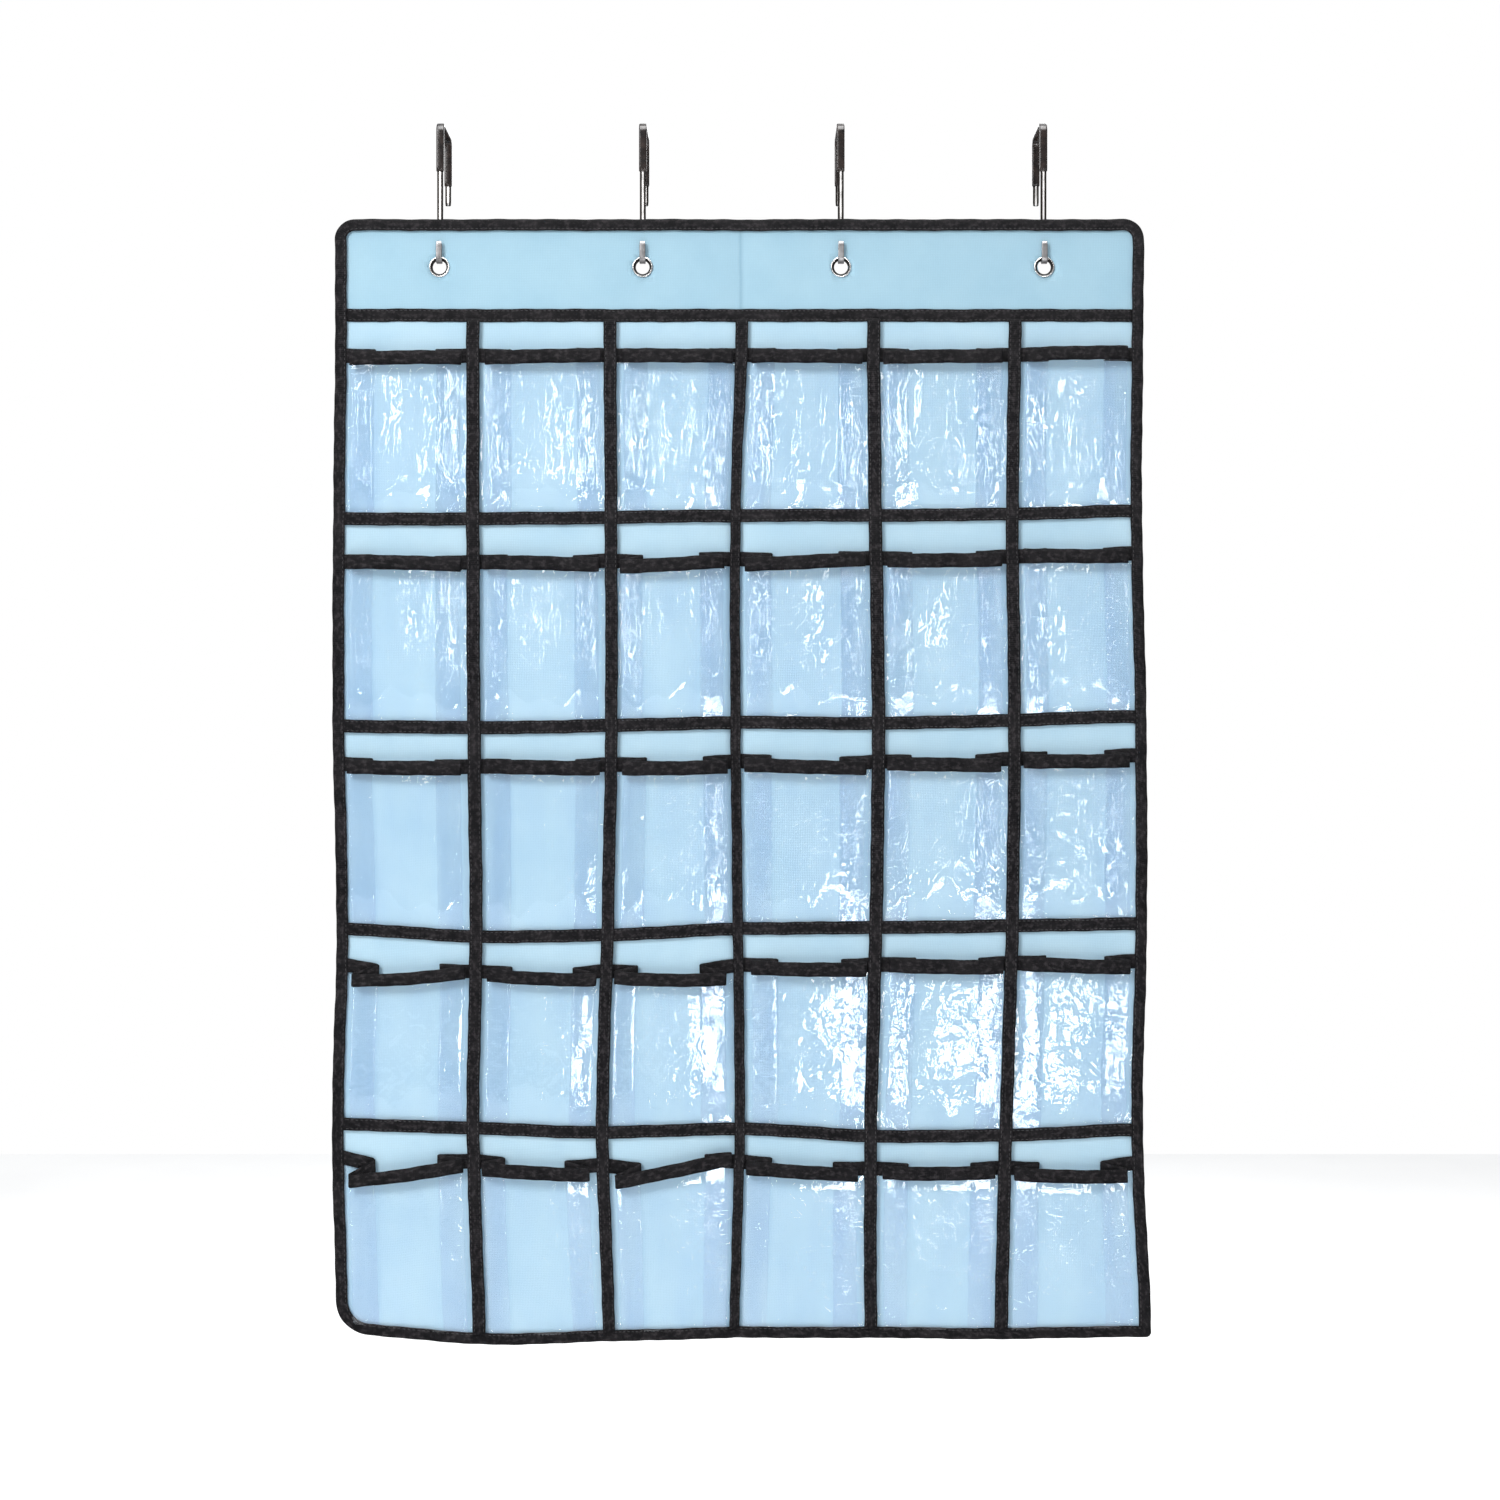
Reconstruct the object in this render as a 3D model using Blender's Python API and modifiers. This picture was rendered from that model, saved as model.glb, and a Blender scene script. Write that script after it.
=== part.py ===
"""Over-door hanging organizer: a cloth panel with thirty clear pleated pockets, on four steel door hooks.

Metres, +Z up, the front faces -Y. The origin is on the centre crease, on the top edge of the door that the
hooks sit on, at the face of the door that the panel hangs against. The cloth folds in half at the centre
crease, front to front, so what crosses the crease is two solids: one on each half. The left half is the
fixed one. Each hook turns in its eyelet.
"""
import math

import bmesh
import bpy
from mathutils import Matrix, Vector

# Panel
PANEL_WIDTH = 0.590
PANEL_HEIGHT = 0.820
PANEL_TOP = -0.070          # the panel's top edge, below the top of the door
CORNER_RADIUS = 0.015
LAST_CORNER_RADIUS = 0.004  # the bottom corner on the right is nearly square
FIT = 0.0003                # gap between pieces that touch
CLOTH = 0.0010              # backing
TAPE = 0.0008               # binding and tapes
TAPE_WIDTH = 0.0095
BINDING_WIDTH = 0.0088
BACKING_BACK = -0.0043      # y of the backing's back face

# Pockets
ROWS = 5
HALF_COLUMNS = 3            # columns on each side of the crease
COLUMN_PITCH = 0.098
ROW_PITCH = 0.149
HEADER_DROP = 0.0705        # panel's top edge to the middle of the header tape
MOUTH_DROP = 0.026          # middle of a row's upper tape to the top of the pocket mouths below it
MOUTH_BINDING_HEIGHT = 0.0100
MOUTH_TAPE = 0.0005
FILM = 0.0004
SEAM_DEPTH = 0.0016         # film's middle, in front of the backing, where it is sewn down
POCKET_DEPTH = 0.0090       # film's middle, in front of the backing, at a pocket's face
SEAM_HALF_WIDTH = 0.0065    # flat film on each side of the middle of a tape
SHOULDER = 0.0025           # width of the pocket's side wall
FLOOR_RISE = 0.0080         # height of the pocket's floor slope
FOLD_DEPTH = 0.0150         # fold axis, in front of the backing

# Eyelets
EYELET_DROP = 0.035
EYELET_XS = (-0.221, -0.0725, 0.0725, 0.221)
EYELET_BORE = 0.0050
EYELET_WALL = 0.00045
EYELET_FLANGE = 0.0075
EYELET_DOME = 0.0007        # how far the flange stands out
WASHER = 0.0005
RIM = 0.0010                # how far the barrel's end is rolled out over the washer
EYELET_STEPS = 24
ARC_STEPS = 6               # flats on each rounded corner

# Hooks: bent from flat strip, with a sleeve over the part that grips the door
STRIP_WIDTH = 0.0044
STRIP = 0.0012
SLEEVE_WALL = 0.00035
DOOR_GAP = 0.040
HOOK_BEND = 0.0060          # middle of the strip, at the two upper corners
J_BEND = 0.0035             # middle of the strip, where it passes through the eyelet
J_LIFT = 0.0030             # the strip's crossing, above the eyelet's centre
TIP_LENGTH = 0.0183         # eyelet's centre to the end of the tip
BACK_LEG = 0.049
SLEEVE_DROP = 0.034

# Worked out from the dimensions above
HALF_WIDTH = PANEL_WIDTH / 2
PANEL_BOTTOM = PANEL_TOP - PANEL_HEIGHT
BACKING_FRONT = BACKING_BACK - CLOTH
BACKING_MIDDLE = BACKING_BACK - CLOTH / 2
HEADER_Z = PANEL_TOP - HEADER_DROP
EYELET_Z = PANEL_TOP - EYELET_DROP
SLEEVE_OFFSET = FIT + SLEEVE_WALL
SHANK_Y = -SLEEVE_OFFSET - STRIP / 2
TIP_Y = 2 * BACKING_MIDDLE - SHANK_Y
FOLD_Y = BACKING_FRONT - FOLD_DEPTH
SIDES = {"left": -1, "right": 1}

# The strip's side view and the panel's front view are drawn flat, then stood up in these planes.
SIDE_VIEW = Matrix(((0, 0, 1, 0), (1, 0, 0, 0), (0, 1, 0, 0), (0, 0, 0, 1)))
FRONT_VIEW = Matrix.Rotation(math.radians(90), 4, "X")


def clear_scene():
    for obj in list(bpy.data.objects):
        bpy.data.objects.remove(obj, do_unlink=True)


def collection(name):
    made = bpy.data.collections.new(name)
    bpy.context.scene.collection.children.link(made)
    return made


def material(name, colour, roughness, metallic=0.0, alpha=1.0):
    made = bpy.data.materials.new(name)
    made.use_nodes = True
    shader = made.node_tree.nodes["Principled BSDF"]
    shader.inputs["Base Color"].default_value = (*colour, 1.0)
    shader.inputs["Roughness"].default_value = roughness
    shader.inputs["Metallic"].default_value = metallic
    shader.inputs["Alpha"].default_value = alpha
    return made


def add(name, data, finish, group=None):
    made = bpy.data.objects.new(name, data)
    data.materials.clear()
    data.materials.append(finish)
    (group or PARTS).objects.link(made)
    return made


def axis_empty(name, place, parent=None):
    made = bpy.data.objects.new(name, None)
    made.empty_display_size = 0.02
    made.location = place
    PARTS.objects.link(made)
    attach(made, parent)
    return made


def attach(obj, parent):
    """Parents obj without moving it."""
    if parent:
        bpy.context.view_layer.update()
        obj.parent = parent
        obj.matrix_parent_inverse = parent.matrix_world.inverted()
    bpy.context.view_layer.update()


def rounded(corners, radii, steps):
    """The path through the corners, each inner one rounded to its radius with an arc."""
    corners = [Vector(corner) for corner in corners]
    path = [corners[0]]
    for before, corner, after, radius in zip(corners, corners[1:], corners[2:], radii):
        back, ahead = (before - corner).normalized(), (after - corner).normalized()
        half = back.angle(ahead) / 2
        centre = corner + (back + ahead).normalized() * radius / math.sin(half)
        spoke = corner + back * radius / math.tan(half) - centre
        last = corner + ahead * radius / math.tan(half) - centre
        turn = -spoke.angle_signed(last)
        for step in range(steps + 1):
            path.append(centre + Matrix.Rotation(turn * step / steps, 2) @ spoke)
    return path + [corners[-1]]


def shifted(path, distance):
    """The path moved to its left by distance, with mitred corners."""
    runs = [(b - a).normalized() for a, b in zip(path, path[1:])]
    moved = []
    for place, point in enumerate(path):
        into, out = runs[max(place - 1, 0)], runs[min(place, len(runs) - 1)]
        left = Vector((-into.y, into.x))
        normal = (left + Vector((-out.y, out.x))).normalized()
        moved.append(point + normal * distance / normal.dot(left))
    return moved


def plate(name, outlines, thickness, view, finish, group=None):
    """A flat piece with the outlines given, the first of them outside and the rest holes."""
    curve = bpy.data.curves.new(name, "CURVE")
    curve.dimensions = "2D"
    curve.fill_mode = "BOTH"
    curve.extrude = thickness / 2
    for outline in outlines:
        spline = curve.splines.new("POLY")
        spline.points.add(len(outline) - 1)
        for point, place in zip(spline.points, outline):
            point.co = (place[0], place[1], 0, 1)
        spline.use_cyclic_u = True
    drawn = bpy.data.objects.new(name + "_outline", curve)
    bpy.context.scene.collection.objects.link(drawn)
    graph = bpy.context.evaluated_depsgraph_get()
    mesh = bpy.data.meshes.new_from_object(drawn.evaluated_get(graph))
    bpy.data.objects.remove(drawn)
    body = bmesh.new()
    body.from_mesh(mesh)
    bmesh.ops.remove_doubles(body, verts=body.verts, dist=0.00001)
    bmesh.ops.recalc_face_normals(body, faces=body.faces)
    body.to_mesh(mesh)
    body.free()
    mesh.name = name
    made = add(name, mesh, finish, group)
    made.matrix_world = view
    return made


def box(name, low, high, finish):
    """A box between its lowest and highest corners."""
    low, high = Vector(low), Vector(high)
    body = bmesh.new()
    bmesh.ops.create_cube(body, size=1)
    bmesh.ops.scale(body, vec=high - low, verts=body.verts)
    mesh = bpy.data.meshes.new(name)
    body.to_mesh(mesh)
    body.free()
    made = add(name, mesh, finish)
    made.location = (low + high) / 2
    return made


def sheet(name, lines, thickness, finish):
    """A thin piece through the lines given, each a list of as many points as the next."""
    columns, rows = len(lines[0]) - 1, len(lines) - 1
    body = bmesh.new()
    bmesh.ops.create_grid(body, x_segments=columns, y_segments=rows, size=1)
    for vert in body.verts:
        column = round((vert.co.x + 1) / 2 * columns)
        row = round((vert.co.y + 1) / 2 * rows)
        vert.co = lines[row][column]
    mesh = bpy.data.meshes.new(name)
    body.to_mesh(mesh)
    body.free()
    made = add(name, mesh, finish)
    wall = made.modifiers.new("Thickness", "SOLIDIFY")
    wall.thickness = thickness
    wall.offset = 0
    wall.use_even_offset = True
    return made


def turned(name, profile, place, finish):
    """A ring whose closed profile (radius, distance in front of the backing's middle) turns about Y."""
    mesh = bpy.data.meshes.new(name)
    edges = [(k, (k + 1) % len(profile)) for k in range(len(profile))]
    mesh.from_pydata([(radius, 0, front) for radius, front in profile], edges, [])
    made = add(name, mesh, finish)
    made.rotation_euler = (math.radians(90), 0, 0)
    made.location = place
    turn = made.modifiers.new("Turn", "SCREW")
    turn.axis = "Z"
    turn.steps = turn.render_steps = EYELET_STEPS
    turn.use_merge_vertices = True
    turn.merge_threshold = 0.00001
    turn.use_smooth_shade = True
    return made


def panel_edge(side, inset):
    """One half's edge, inset, from the fold line at the top round to the fold line at the bottom."""
    sign = SIDES[side]
    fold, edge = sign * FIT / 2, sign * (HALF_WIDTH - inset)
    top, bottom = PANEL_TOP - inset, PANEL_BOTTOM + inset
    low_radius = CORNER_RADIUS if side == "left" else LAST_CORNER_RADIUS
    radii = [max(radius - inset, 0.001) for radius in (CORNER_RADIUS, low_radius)]
    return rounded([(fold, top), (edge, top), (edge, bottom), (fold, bottom)], radii, ARC_STEPS)


def circle(centre, radius, steps=EYELET_STEPS):
    angles = [2 * math.pi * step / steps for step in range(steps)]
    return [(centre[0] + radius * math.cos(a), centre[1] + radius * math.sin(a)) for a in angles]


def make_backing(side):
    hole = EYELET_BORE + EYELET_WALL + FIT
    outlines = [panel_edge(side, TAPE + FIT)]
    outlines += [circle((x, EYELET_Z), hole) for x in EYELET_XS if x * SIDES[side] > 0]
    made = plate(f"backing_{side}", outlines, CLOTH, FRONT_VIEW, BLUE_CLOTH)
    made.location.y = BACKING_MIDDLE
    return made


def make_binding(side):
    """The tape folded over the panel's edge: a back leg, the turn and a front leg."""
    reach = CLOTH / 2 + FIT + TAPE / 2
    turn = TAPE / 2
    lines = []
    for inset, front in ((BINDING_WIDTH, -reach), (turn, -reach), (turn, reach), (BINDING_WIDTH, reach)):
        edge = panel_edge(side, inset)
        lines.append([(x, BACKING_MIDDLE - front, z) for x, z in edge])
    return sheet(f"edge_binding_{side}", lines, TAPE, BLACK_TAPE)


def column_lines(side):
    """The film's bends across one half: (distance from the crease, how far it stands out, 0 to 1)."""
    outer = HALF_WIDTH - BINDING_WIDTH - TAPE / 2 - FIT
    bends = [(FIT / 2, 0)]
    for column in range(HALF_COLUMNS):
        start = column * COLUMN_PITCH + SEAM_HALF_WIDTH
        last = column == HALF_COLUMNS - 1
        end = outer - SHOULDER if last else (column + 1) * COLUMN_PITCH - SEAM_HALF_WIDTH
        bends += [(start, 0), (start + SHOULDER, 1), (end - SHOULDER, 1), (end, 0)]
    bends.append((outer, 0))
    return [(SIDES[side] * distance, out) for distance, out in bends]


def film_path(side, swell):
    """The film's middle seen from above, as (x, y), for pockets that stand out by swell, 0 to 1."""
    path = []
    for x, out in column_lines(side):
        depth = SEAM_DEPTH + out * swell * (POCKET_DEPTH - SEAM_DEPTH)
        path.append(Vector((x, BACKING_FRONT - depth)))
    return path


def row_bottom(row):
    """The middle of the tape, or of the binding, that closes the row's pockets."""
    return HEADER_Z - (row + 1) * ROW_PITCH


def make_film(side, row):
    seam = row_bottom(row) + TAPE_WIDTH / 2 + FIT
    low = seam - TAPE_WIDTH * 0.9 if row < ROWS - 1 else seam - FIT
    mouth = HEADER_Z - row * ROW_PITCH - MOUTH_DROP - MOUTH_TAPE - FIT
    levels = ((low, 0), (seam, 0), (seam + FLOOR_RISE, 1), (mouth, 1))
    lines = [[(x, y, z) for x, y in film_path(side, swell)] for z, swell in levels]
    return sheet(f"pocket_film_{row + 1}_{side}", lines, FILM, CLEAR_FILM)


def make_mouth_binding(side, row):
    """The tape folded over the film's upper edge, following the pockets' faces."""
    top = HEADER_Z - row * ROW_PITCH - MOUTH_DROP - MOUTH_TAPE / 2
    low = top - MOUTH_BINDING_HEIGHT + MOUTH_TAPE / 2
    reach = FILM / 2 + FIT + MOUTH_TAPE / 2
    path = film_path(side, 1)
    lines = []
    for offset, z in ((-reach, low), (-reach, top), (reach, top), (reach, low)):
        lines.append([(x, y, z) for x, y in shifted(path, offset)])
    return sheet(f"mouth_binding_{row + 1}_{side}", lines, MOUTH_TAPE, BLACK_TAPE)


def make_row_tape(side, row):
    """The tape under a row of pockets, from the crease to the edge binding. Row -1's is the header tape."""
    ends = sorted(SIDES[side] * x for x in (FIT / 2, HALF_WIDTH - BINDING_WIDTH - TAPE / 2 - FIT))
    depth = SEAM_DEPTH + FILM / 2 + FIT if row >= 0 else FIT
    middle = row_bottom(row)
    name = f"row_tape_{row + 1}_{side}" if row >= 0 else f"header_tape_{side}"
    low = (ends[0], BACKING_FRONT - depth - TAPE, middle - TAPE_WIDTH / 2)
    high = (ends[1], BACKING_FRONT - depth, middle + TAPE_WIDTH / 2)
    return box(name, low, high, BLACK_TAPE)


def make_column_tape(name, start, end):
    """A vertical tape over the film and the row tapes, from the header tape to the bottom binding."""
    depth = SEAM_DEPTH + FILM / 2 + 2 * FIT + TAPE
    top = HEADER_Z - TAPE_WIDTH / 2 - FIT
    bottom = PANEL_BOTTOM + BINDING_WIDTH + TAPE / 2 + FIT
    back = BACKING_FRONT - depth
    return box(name, (start, back - TAPE, bottom), (end, back, top), BLACK_TAPE)


def make_eyelet(number, x):
    """The eyelet's turned body: a domed front flange, a barrel, and a rim rolled over the washer."""
    bore, barrel, flange = EYELET_BORE, EYELET_BORE + EYELET_WALL, EYELET_FLANGE
    front = CLOTH / 2 + FIT
    back = -(CLOTH / 2 + FIT + WASHER + FIT)
    rolled = back - EYELET_WALL
    profile = [
        (flange - RIM, front + EYELET_DOME), (flange, front + EYELET_DOME / 2), (flange, front),
        (barrel, front), (barrel, back), (barrel + RIM, back), (barrel + RIM / 2, rolled),
        (bore + EYELET_WALL, rolled), (bore, back), (bore, front), (bore + RIM / 2, front + EYELET_DOME),
    ]
    return turned(f"eyelet_{number}", profile, (x, BACKING_MIDDLE, EYELET_Z), STEEL)


def make_washer(number, x):
    """A flat ring with its outer edge eased at the back."""
    hole, front = EYELET_BORE + EYELET_WALL + FIT, -(CLOTH / 2 + FIT)
    eased = WASHER / 2
    profile = [
        (EYELET_FLANGE, front), (EYELET_FLANGE, front - eased), (EYELET_FLANGE - eased, front - WASHER),
        (hole, front - WASHER), (hole, front),
    ]
    return turned(f"eyelet_washer_{number}", profile, (x, BACKING_MIDDLE, EYELET_Z), STEEL)


def hook_path(end, sleeve_only):
    """The middle of the strip in side view, as (y, z): the tip, the J, the shank and the bend over the door.

    end is the height of the back leg's lower end. With sleeve_only, both legs end there.
    """
    back_y = DOOR_GAP - SHANK_Y
    bridge = SLEEVE_OFFSET + STRIP / 2
    crossing = EYELET_Z + J_LIFT
    upper = [(SHANK_Y, bridge), (back_y, bridge)]
    if sleeve_only:
        return rounded([(SHANK_Y, end), *upper, (back_y, end)], [HOOK_BEND] * 2, ARC_STEPS)
    corners = [(TIP_Y, EYELET_Z + TIP_LENGTH), (TIP_Y, crossing), (SHANK_Y, crossing), *upper, (back_y, end)]
    return rounded(corners, [J_BEND, J_BEND, HOOK_BEND, HOOK_BEND], ARC_STEPS)


def strip_outline(path, thickness):
    """The closed outline of a strip of that thickness along the path."""
    return shifted(path, thickness / 2) + shifted(path, -thickness / 2)[::-1]


def make_hook(number, x):
    """The bent strip, cut from its side view."""
    outline = strip_outline(hook_path(-BACK_LEG, False), STRIP)
    made = plate(f"door_hook_{number}", [outline], STRIP_WIDTH, SIDE_VIEW, CHROME)
    made.location.x = x
    return made


def make_sleeve(number, x):
    """A flat tube over the strip, open at both ends."""
    outside = strip_outline(hook_path(-SLEEVE_DROP, True), STRIP + 2 * SLEEVE_OFFSET)
    inside = strip_outline(hook_path(-SLEEVE_DROP - STRIP_WIDTH, True), STRIP + 2 * FIT)
    made = plate(f"hook_sleeve_{number}", [outside], STRIP_WIDTH + 2 * SLEEVE_OFFSET, SIDE_VIEW, SLEEVE)
    bore = plate(f"sleeve_bore_{number}", [inside], STRIP_WIDTH + 2 * FIT, SIDE_VIEW, SLEEVE, CUTTERS)
    for piece in (made, bore):
        piece.location.x = x
    bore.hide_render = True
    bore.display_type = "WIRE"
    cut = made.modifiers.new("Bore", "BOOLEAN")
    cut.operation = "DIFFERENCE"
    cut.object = bore
    return made, bore


def make_half(side, parent):
    """Everything sewn to one half of the panel."""
    pieces = [make_backing(side), make_binding(side)]
    pieces += [make_row_tape(side, row) for row in range(-1, ROWS - 1)]
    for row in range(ROWS):
        pieces += [make_film(side, row), make_mouth_binding(side, row)]
    for column in range(HALF_COLUMNS):
        middle, half = SIDES[side] * column * COLUMN_PITCH, TAPE_WIDTH / 2
        if column:
            pieces.append(make_column_tape(f"column_tape_{column}_{side}", middle - half, middle + half))
        else:
            start, end = sorted((SIDES[side] * FIT / 2, SIDES[side] * half))
            pieces.append(make_column_tape(f"centre_tape_{side}", start, end))
    for number, x in enumerate(EYELET_XS, 1):
        if x * SIDES[side] > 0:
            pieces += [make_eyelet(number, x), make_washer(number, x)]
            swivel = axis_empty(f"hook_{number}_axis", (x, BACKING_MIDDLE, EYELET_Z), parent)
            for piece in (make_hook(number, x), *make_sleeve(number, x)):
                attach(piece, swivel)
    for piece in pieces:
        attach(piece, parent)


clear_scene()
PARTS = collection("over_door_pocket_organizer")
CUTTERS = collection("cutters")
BLUE_CLOTH = material("backing_cloth", (0.43, 0.68, 0.84), 0.85)
BLACK_TAPE = material("binding_tape", (0.03, 0.028, 0.032), 0.80)
CLEAR_FILM = material("pocket_film", (0.80, 0.88, 0.95), 0.12, alpha=0.35)
STEEL = material("eyelet_steel", (0.80, 0.80, 0.80), 0.25, metallic=1.0)
CHROME = material("hook_steel", (0.75, 0.74, 0.73), 0.18, metallic=1.0)
SLEEVE = material("hook_sleeve", (0.06, 0.05, 0.045), 0.35)

make_half("left", None)
make_half("right", axis_empty("fold_axis", (0, FOLD_Y, 0)))
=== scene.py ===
"""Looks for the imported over-door pocket organizer: cloth, tapes, clear pockets, eyelets and door hooks.

Metres, +Z up, the front faces -Y, as in the CAD frame. Everything sewn is drawn flat and straight where
the CAD has it, and hung() then moves it the way the real cloth hangs: seams stray, rows sag, and the panel
keeps a valley along its centre crease. Every piece but the stitches has its flat size in metres as its UV
map, so the weave keeps its scale when the panel folds.
"""

import math

import bmesh
import bpy
import numpy as np
from mathutils import Matrix, Vector, noise


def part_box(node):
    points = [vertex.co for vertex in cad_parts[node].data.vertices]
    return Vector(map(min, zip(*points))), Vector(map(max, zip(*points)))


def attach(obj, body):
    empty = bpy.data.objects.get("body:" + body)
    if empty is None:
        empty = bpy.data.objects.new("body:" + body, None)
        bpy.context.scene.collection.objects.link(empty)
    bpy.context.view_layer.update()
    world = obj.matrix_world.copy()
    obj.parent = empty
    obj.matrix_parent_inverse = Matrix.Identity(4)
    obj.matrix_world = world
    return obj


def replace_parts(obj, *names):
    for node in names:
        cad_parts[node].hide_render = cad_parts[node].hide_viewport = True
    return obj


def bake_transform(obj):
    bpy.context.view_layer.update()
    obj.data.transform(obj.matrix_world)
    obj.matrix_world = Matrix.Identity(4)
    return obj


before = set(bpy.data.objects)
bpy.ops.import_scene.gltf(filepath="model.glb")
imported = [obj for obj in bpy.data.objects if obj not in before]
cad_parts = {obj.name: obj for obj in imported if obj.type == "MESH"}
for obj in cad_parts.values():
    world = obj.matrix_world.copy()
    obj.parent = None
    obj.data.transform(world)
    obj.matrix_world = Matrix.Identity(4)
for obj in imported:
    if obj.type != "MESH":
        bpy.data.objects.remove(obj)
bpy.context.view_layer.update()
MM = 0.001
ROWS, COLUMNS = 5, 6
HOOKS = range(1, 5)


def reach(*names):
    """Lowest and highest corner of CAD nodes taken together."""
    boxes = [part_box(name) for name in names]
    low = [min(box[0][i] for box in boxes) for i in range(3)]
    high = [max(box[1][i] for box in boxes) for i in range(3)]
    return Vector(low), Vector(high)


def both(name):
    """A part that crosses the crease is two CAD nodes, one on each half."""
    return f"{name}_left", f"{name}_right"


def centre(*names):
    low, high = reach(*names)
    return (low + high) / 2


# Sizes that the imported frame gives
PANEL_LOW, PANEL_HIGH = reach(*both("edge_binding"))
HALF_WIDTH = PANEL_HIGH.x
CLOTH_BACK, CLOTH_FRONT = reach(*both("backing"))[1].y, reach(*both("backing"))[0].y
HEADER_Z = centre(*both("header_tape")).z
ROW_TAPES_Z = [centre(*both(f"row_tape_{row}")).z for row in range(1, ROWS)]
CAD_MOUTHS_Z = [reach(*both(f"mouth_binding_{row}"))[1].z for row in range(1, ROWS + 1)]
COLUMN_LOW, COLUMN_HIGH = reach("column_tape_1_left")
TAPE_WIDTH = COLUMN_HIGH.x - COLUMN_LOW.x

# Sizes that the CAD source and this script share
BINDING_WIDTH = 8.8 * MM
CORNER_RADII = (15 * MM, 15 * MM, 24 * MM, 4 * MM)  # top left, top right, bottom left, bottom right
MOUTH_BINDING = 10 * MM
SEAM_ALLOWANCE = 4 * MM  # film that lies hidden under a tape

# The middle column tape is None here: it lies on the crease, and is two nodes of its own.
COLUMN_NAMES = (
    "column_tape_2_left", "column_tape_1_left", None, "column_tape_1_right", "column_tape_2_right",
)
COLUMNS_X = [centre(name).x if name else 0.0 for name in COLUMN_NAMES]
LINES_X = [-HALF_WIDTH + BINDING_WIDTH / 2, *COLUMNS_X, HALF_WIDTH - BINDING_WIDTH / 2]
LINES_Z = [PANEL_HIGH.z - BINDING_WIDTH / 2, HEADER_Z, *ROW_TAPES_Z, PANEL_LOW.z + BINDING_WIDTH / 2]

# How far each crossing of the sewn lines has strayed on the real panel, in mm to the right and up:
# from the top edge down, and from the left edge to the right.
STRAY_RIGHT = (
    (-2.5, 0.0, 0.0, 0.0, 0.0, 0.0, -1.0),
    (-2.2, 0.0, 1.7, 0.3, -1.8, 3.2, -1.4),
    (-3.5, 0.0, 2.7, -4.6, -0.6, 1.3, -2.7),
    (-3.9, 0.9, 3.1, -4.6, 1.7, 2.8, 0.4),
    (-1.3, 2.4, 0.2, -2.9, -0.3, 0.9, 0.7),
    (-4.6, 0.2, -3.6, -1.5, -4.0, -3.8, -2.3),
    (-1.3, 4.8, 1.4, -5.5, -4.0, -7.0, 4.0),
)
STRAY_UP = (
    (0.0, 0.0, 0.0, 0.0, 0.0, 0.0, 0.0),
    (0.0, 0.0, 0.0, 0.0, 0.0, 0.0, 0.0),
    (0.0, 0.1, 1.0, 2.5, 2.8, 3.7, 5.9),
    (-2.0, -3.2, -1.7, 0.5, 0.0, 2.2, 5.1),
    (-1.1, -6.4, -5.2, -1.0, 0.0, 1.3, 3.2),
    (5.4, 2.8, -0.3, 2.0, -3.0, -2.2, 2.0),
    (5.9, -1.9, 0.0, 1.8, 2.2, 1.8, 3.6),
)

# How far each row's mouths are sewn on above the CAD's, in mm, and how far the front of each pocket has
# slipped below that, in mm: at its left fold, in its middle and at its right fold.
MOUTH_RISES = (1.2, -0.4, 2.9, 3.8, 6.3)
SLIPS = (
    ((3.0, 3.0, 2.5), (2.5, 2.0, 1.0), (1.0, 1.7, 2.0), (1.8, 2.2, 2.4), (3.0, 2.5, 1.8), (0.8, 0.2, -0.5)),
    ((0.3, 1.0, 2.0), (0.5, 2.0, 3.5), (5.0, 4.5, 2.5), (5.0, 3.5, 1.0), (2.0, 2.6, 2.6), (0.0, 1.6, 2.8)),
    ((1.8, 1.7, 1.0), (-0.5, 1.0, 2.5), (3.0, 4.0, 4.0), (3.0, 4.2, 4.8), (1.5, 3.4, 4.8), (2.2, 3.7, 4.5)),
    ((12.0, 8.0, 0.5), (2.0, 4.7, 6.5), (5.0, 8.5, 10.5), (2.0, 2.8, 3.0), (0.0, 1.2, 2.0), (0.0, 2.4, 4.5)),
    ((18, 11, 2.5), (5.0, 6.0, 6.5), (12.5, 5.0, -2.5), (4.0, 4.5, 4.5), (2.0, 2.5, 2.2), (4.0, 7.2, 9.5)),
)
MOUTHS_Z = [z + MM * rise for z, rise in zip(CAD_MOUTHS_Z, MOUTH_RISES)]
LEANS = (0.08, 0.10, 0.15, 0.20, 0.22)  # how far each row's mouths tip back, as a share of their depth

WOBBLE = 0.12 * MM  # uneven sewing
CREASE_WIDTH, CREASE_ROUND = 9 * MM, 1.2 * MM
CREASE_PINCH = 0.26  # how much narrower the cloth in the valley looks from the front
HEADER_VALLEY, VALLEY = 1.0 * MM, 3.2 * MM  # the valley's depth in the header, and what is added below
LOWER_FORWARD = 1.4 * MM  # the lower panel hangs in front of the CAD's

# The hooks' strip, and where the middle of its front face and the whole way round lie along its section
STRIP, STRIP_WIDTH, STRIP_EASE = 1.2 * MM, 4.4 * MM, 0.45 * MM
FACE_MIDDLE = STRIP_EASE * math.pi / 2 + STRIP_WIDTH / 2 - STRIP_EASE
STRIP_ROUND = 2 * (STRIP_WIDTH + STRIP) - (8 - 2 * math.pi) * STRIP_EASE


# ---------------- how the cloth hangs

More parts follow.
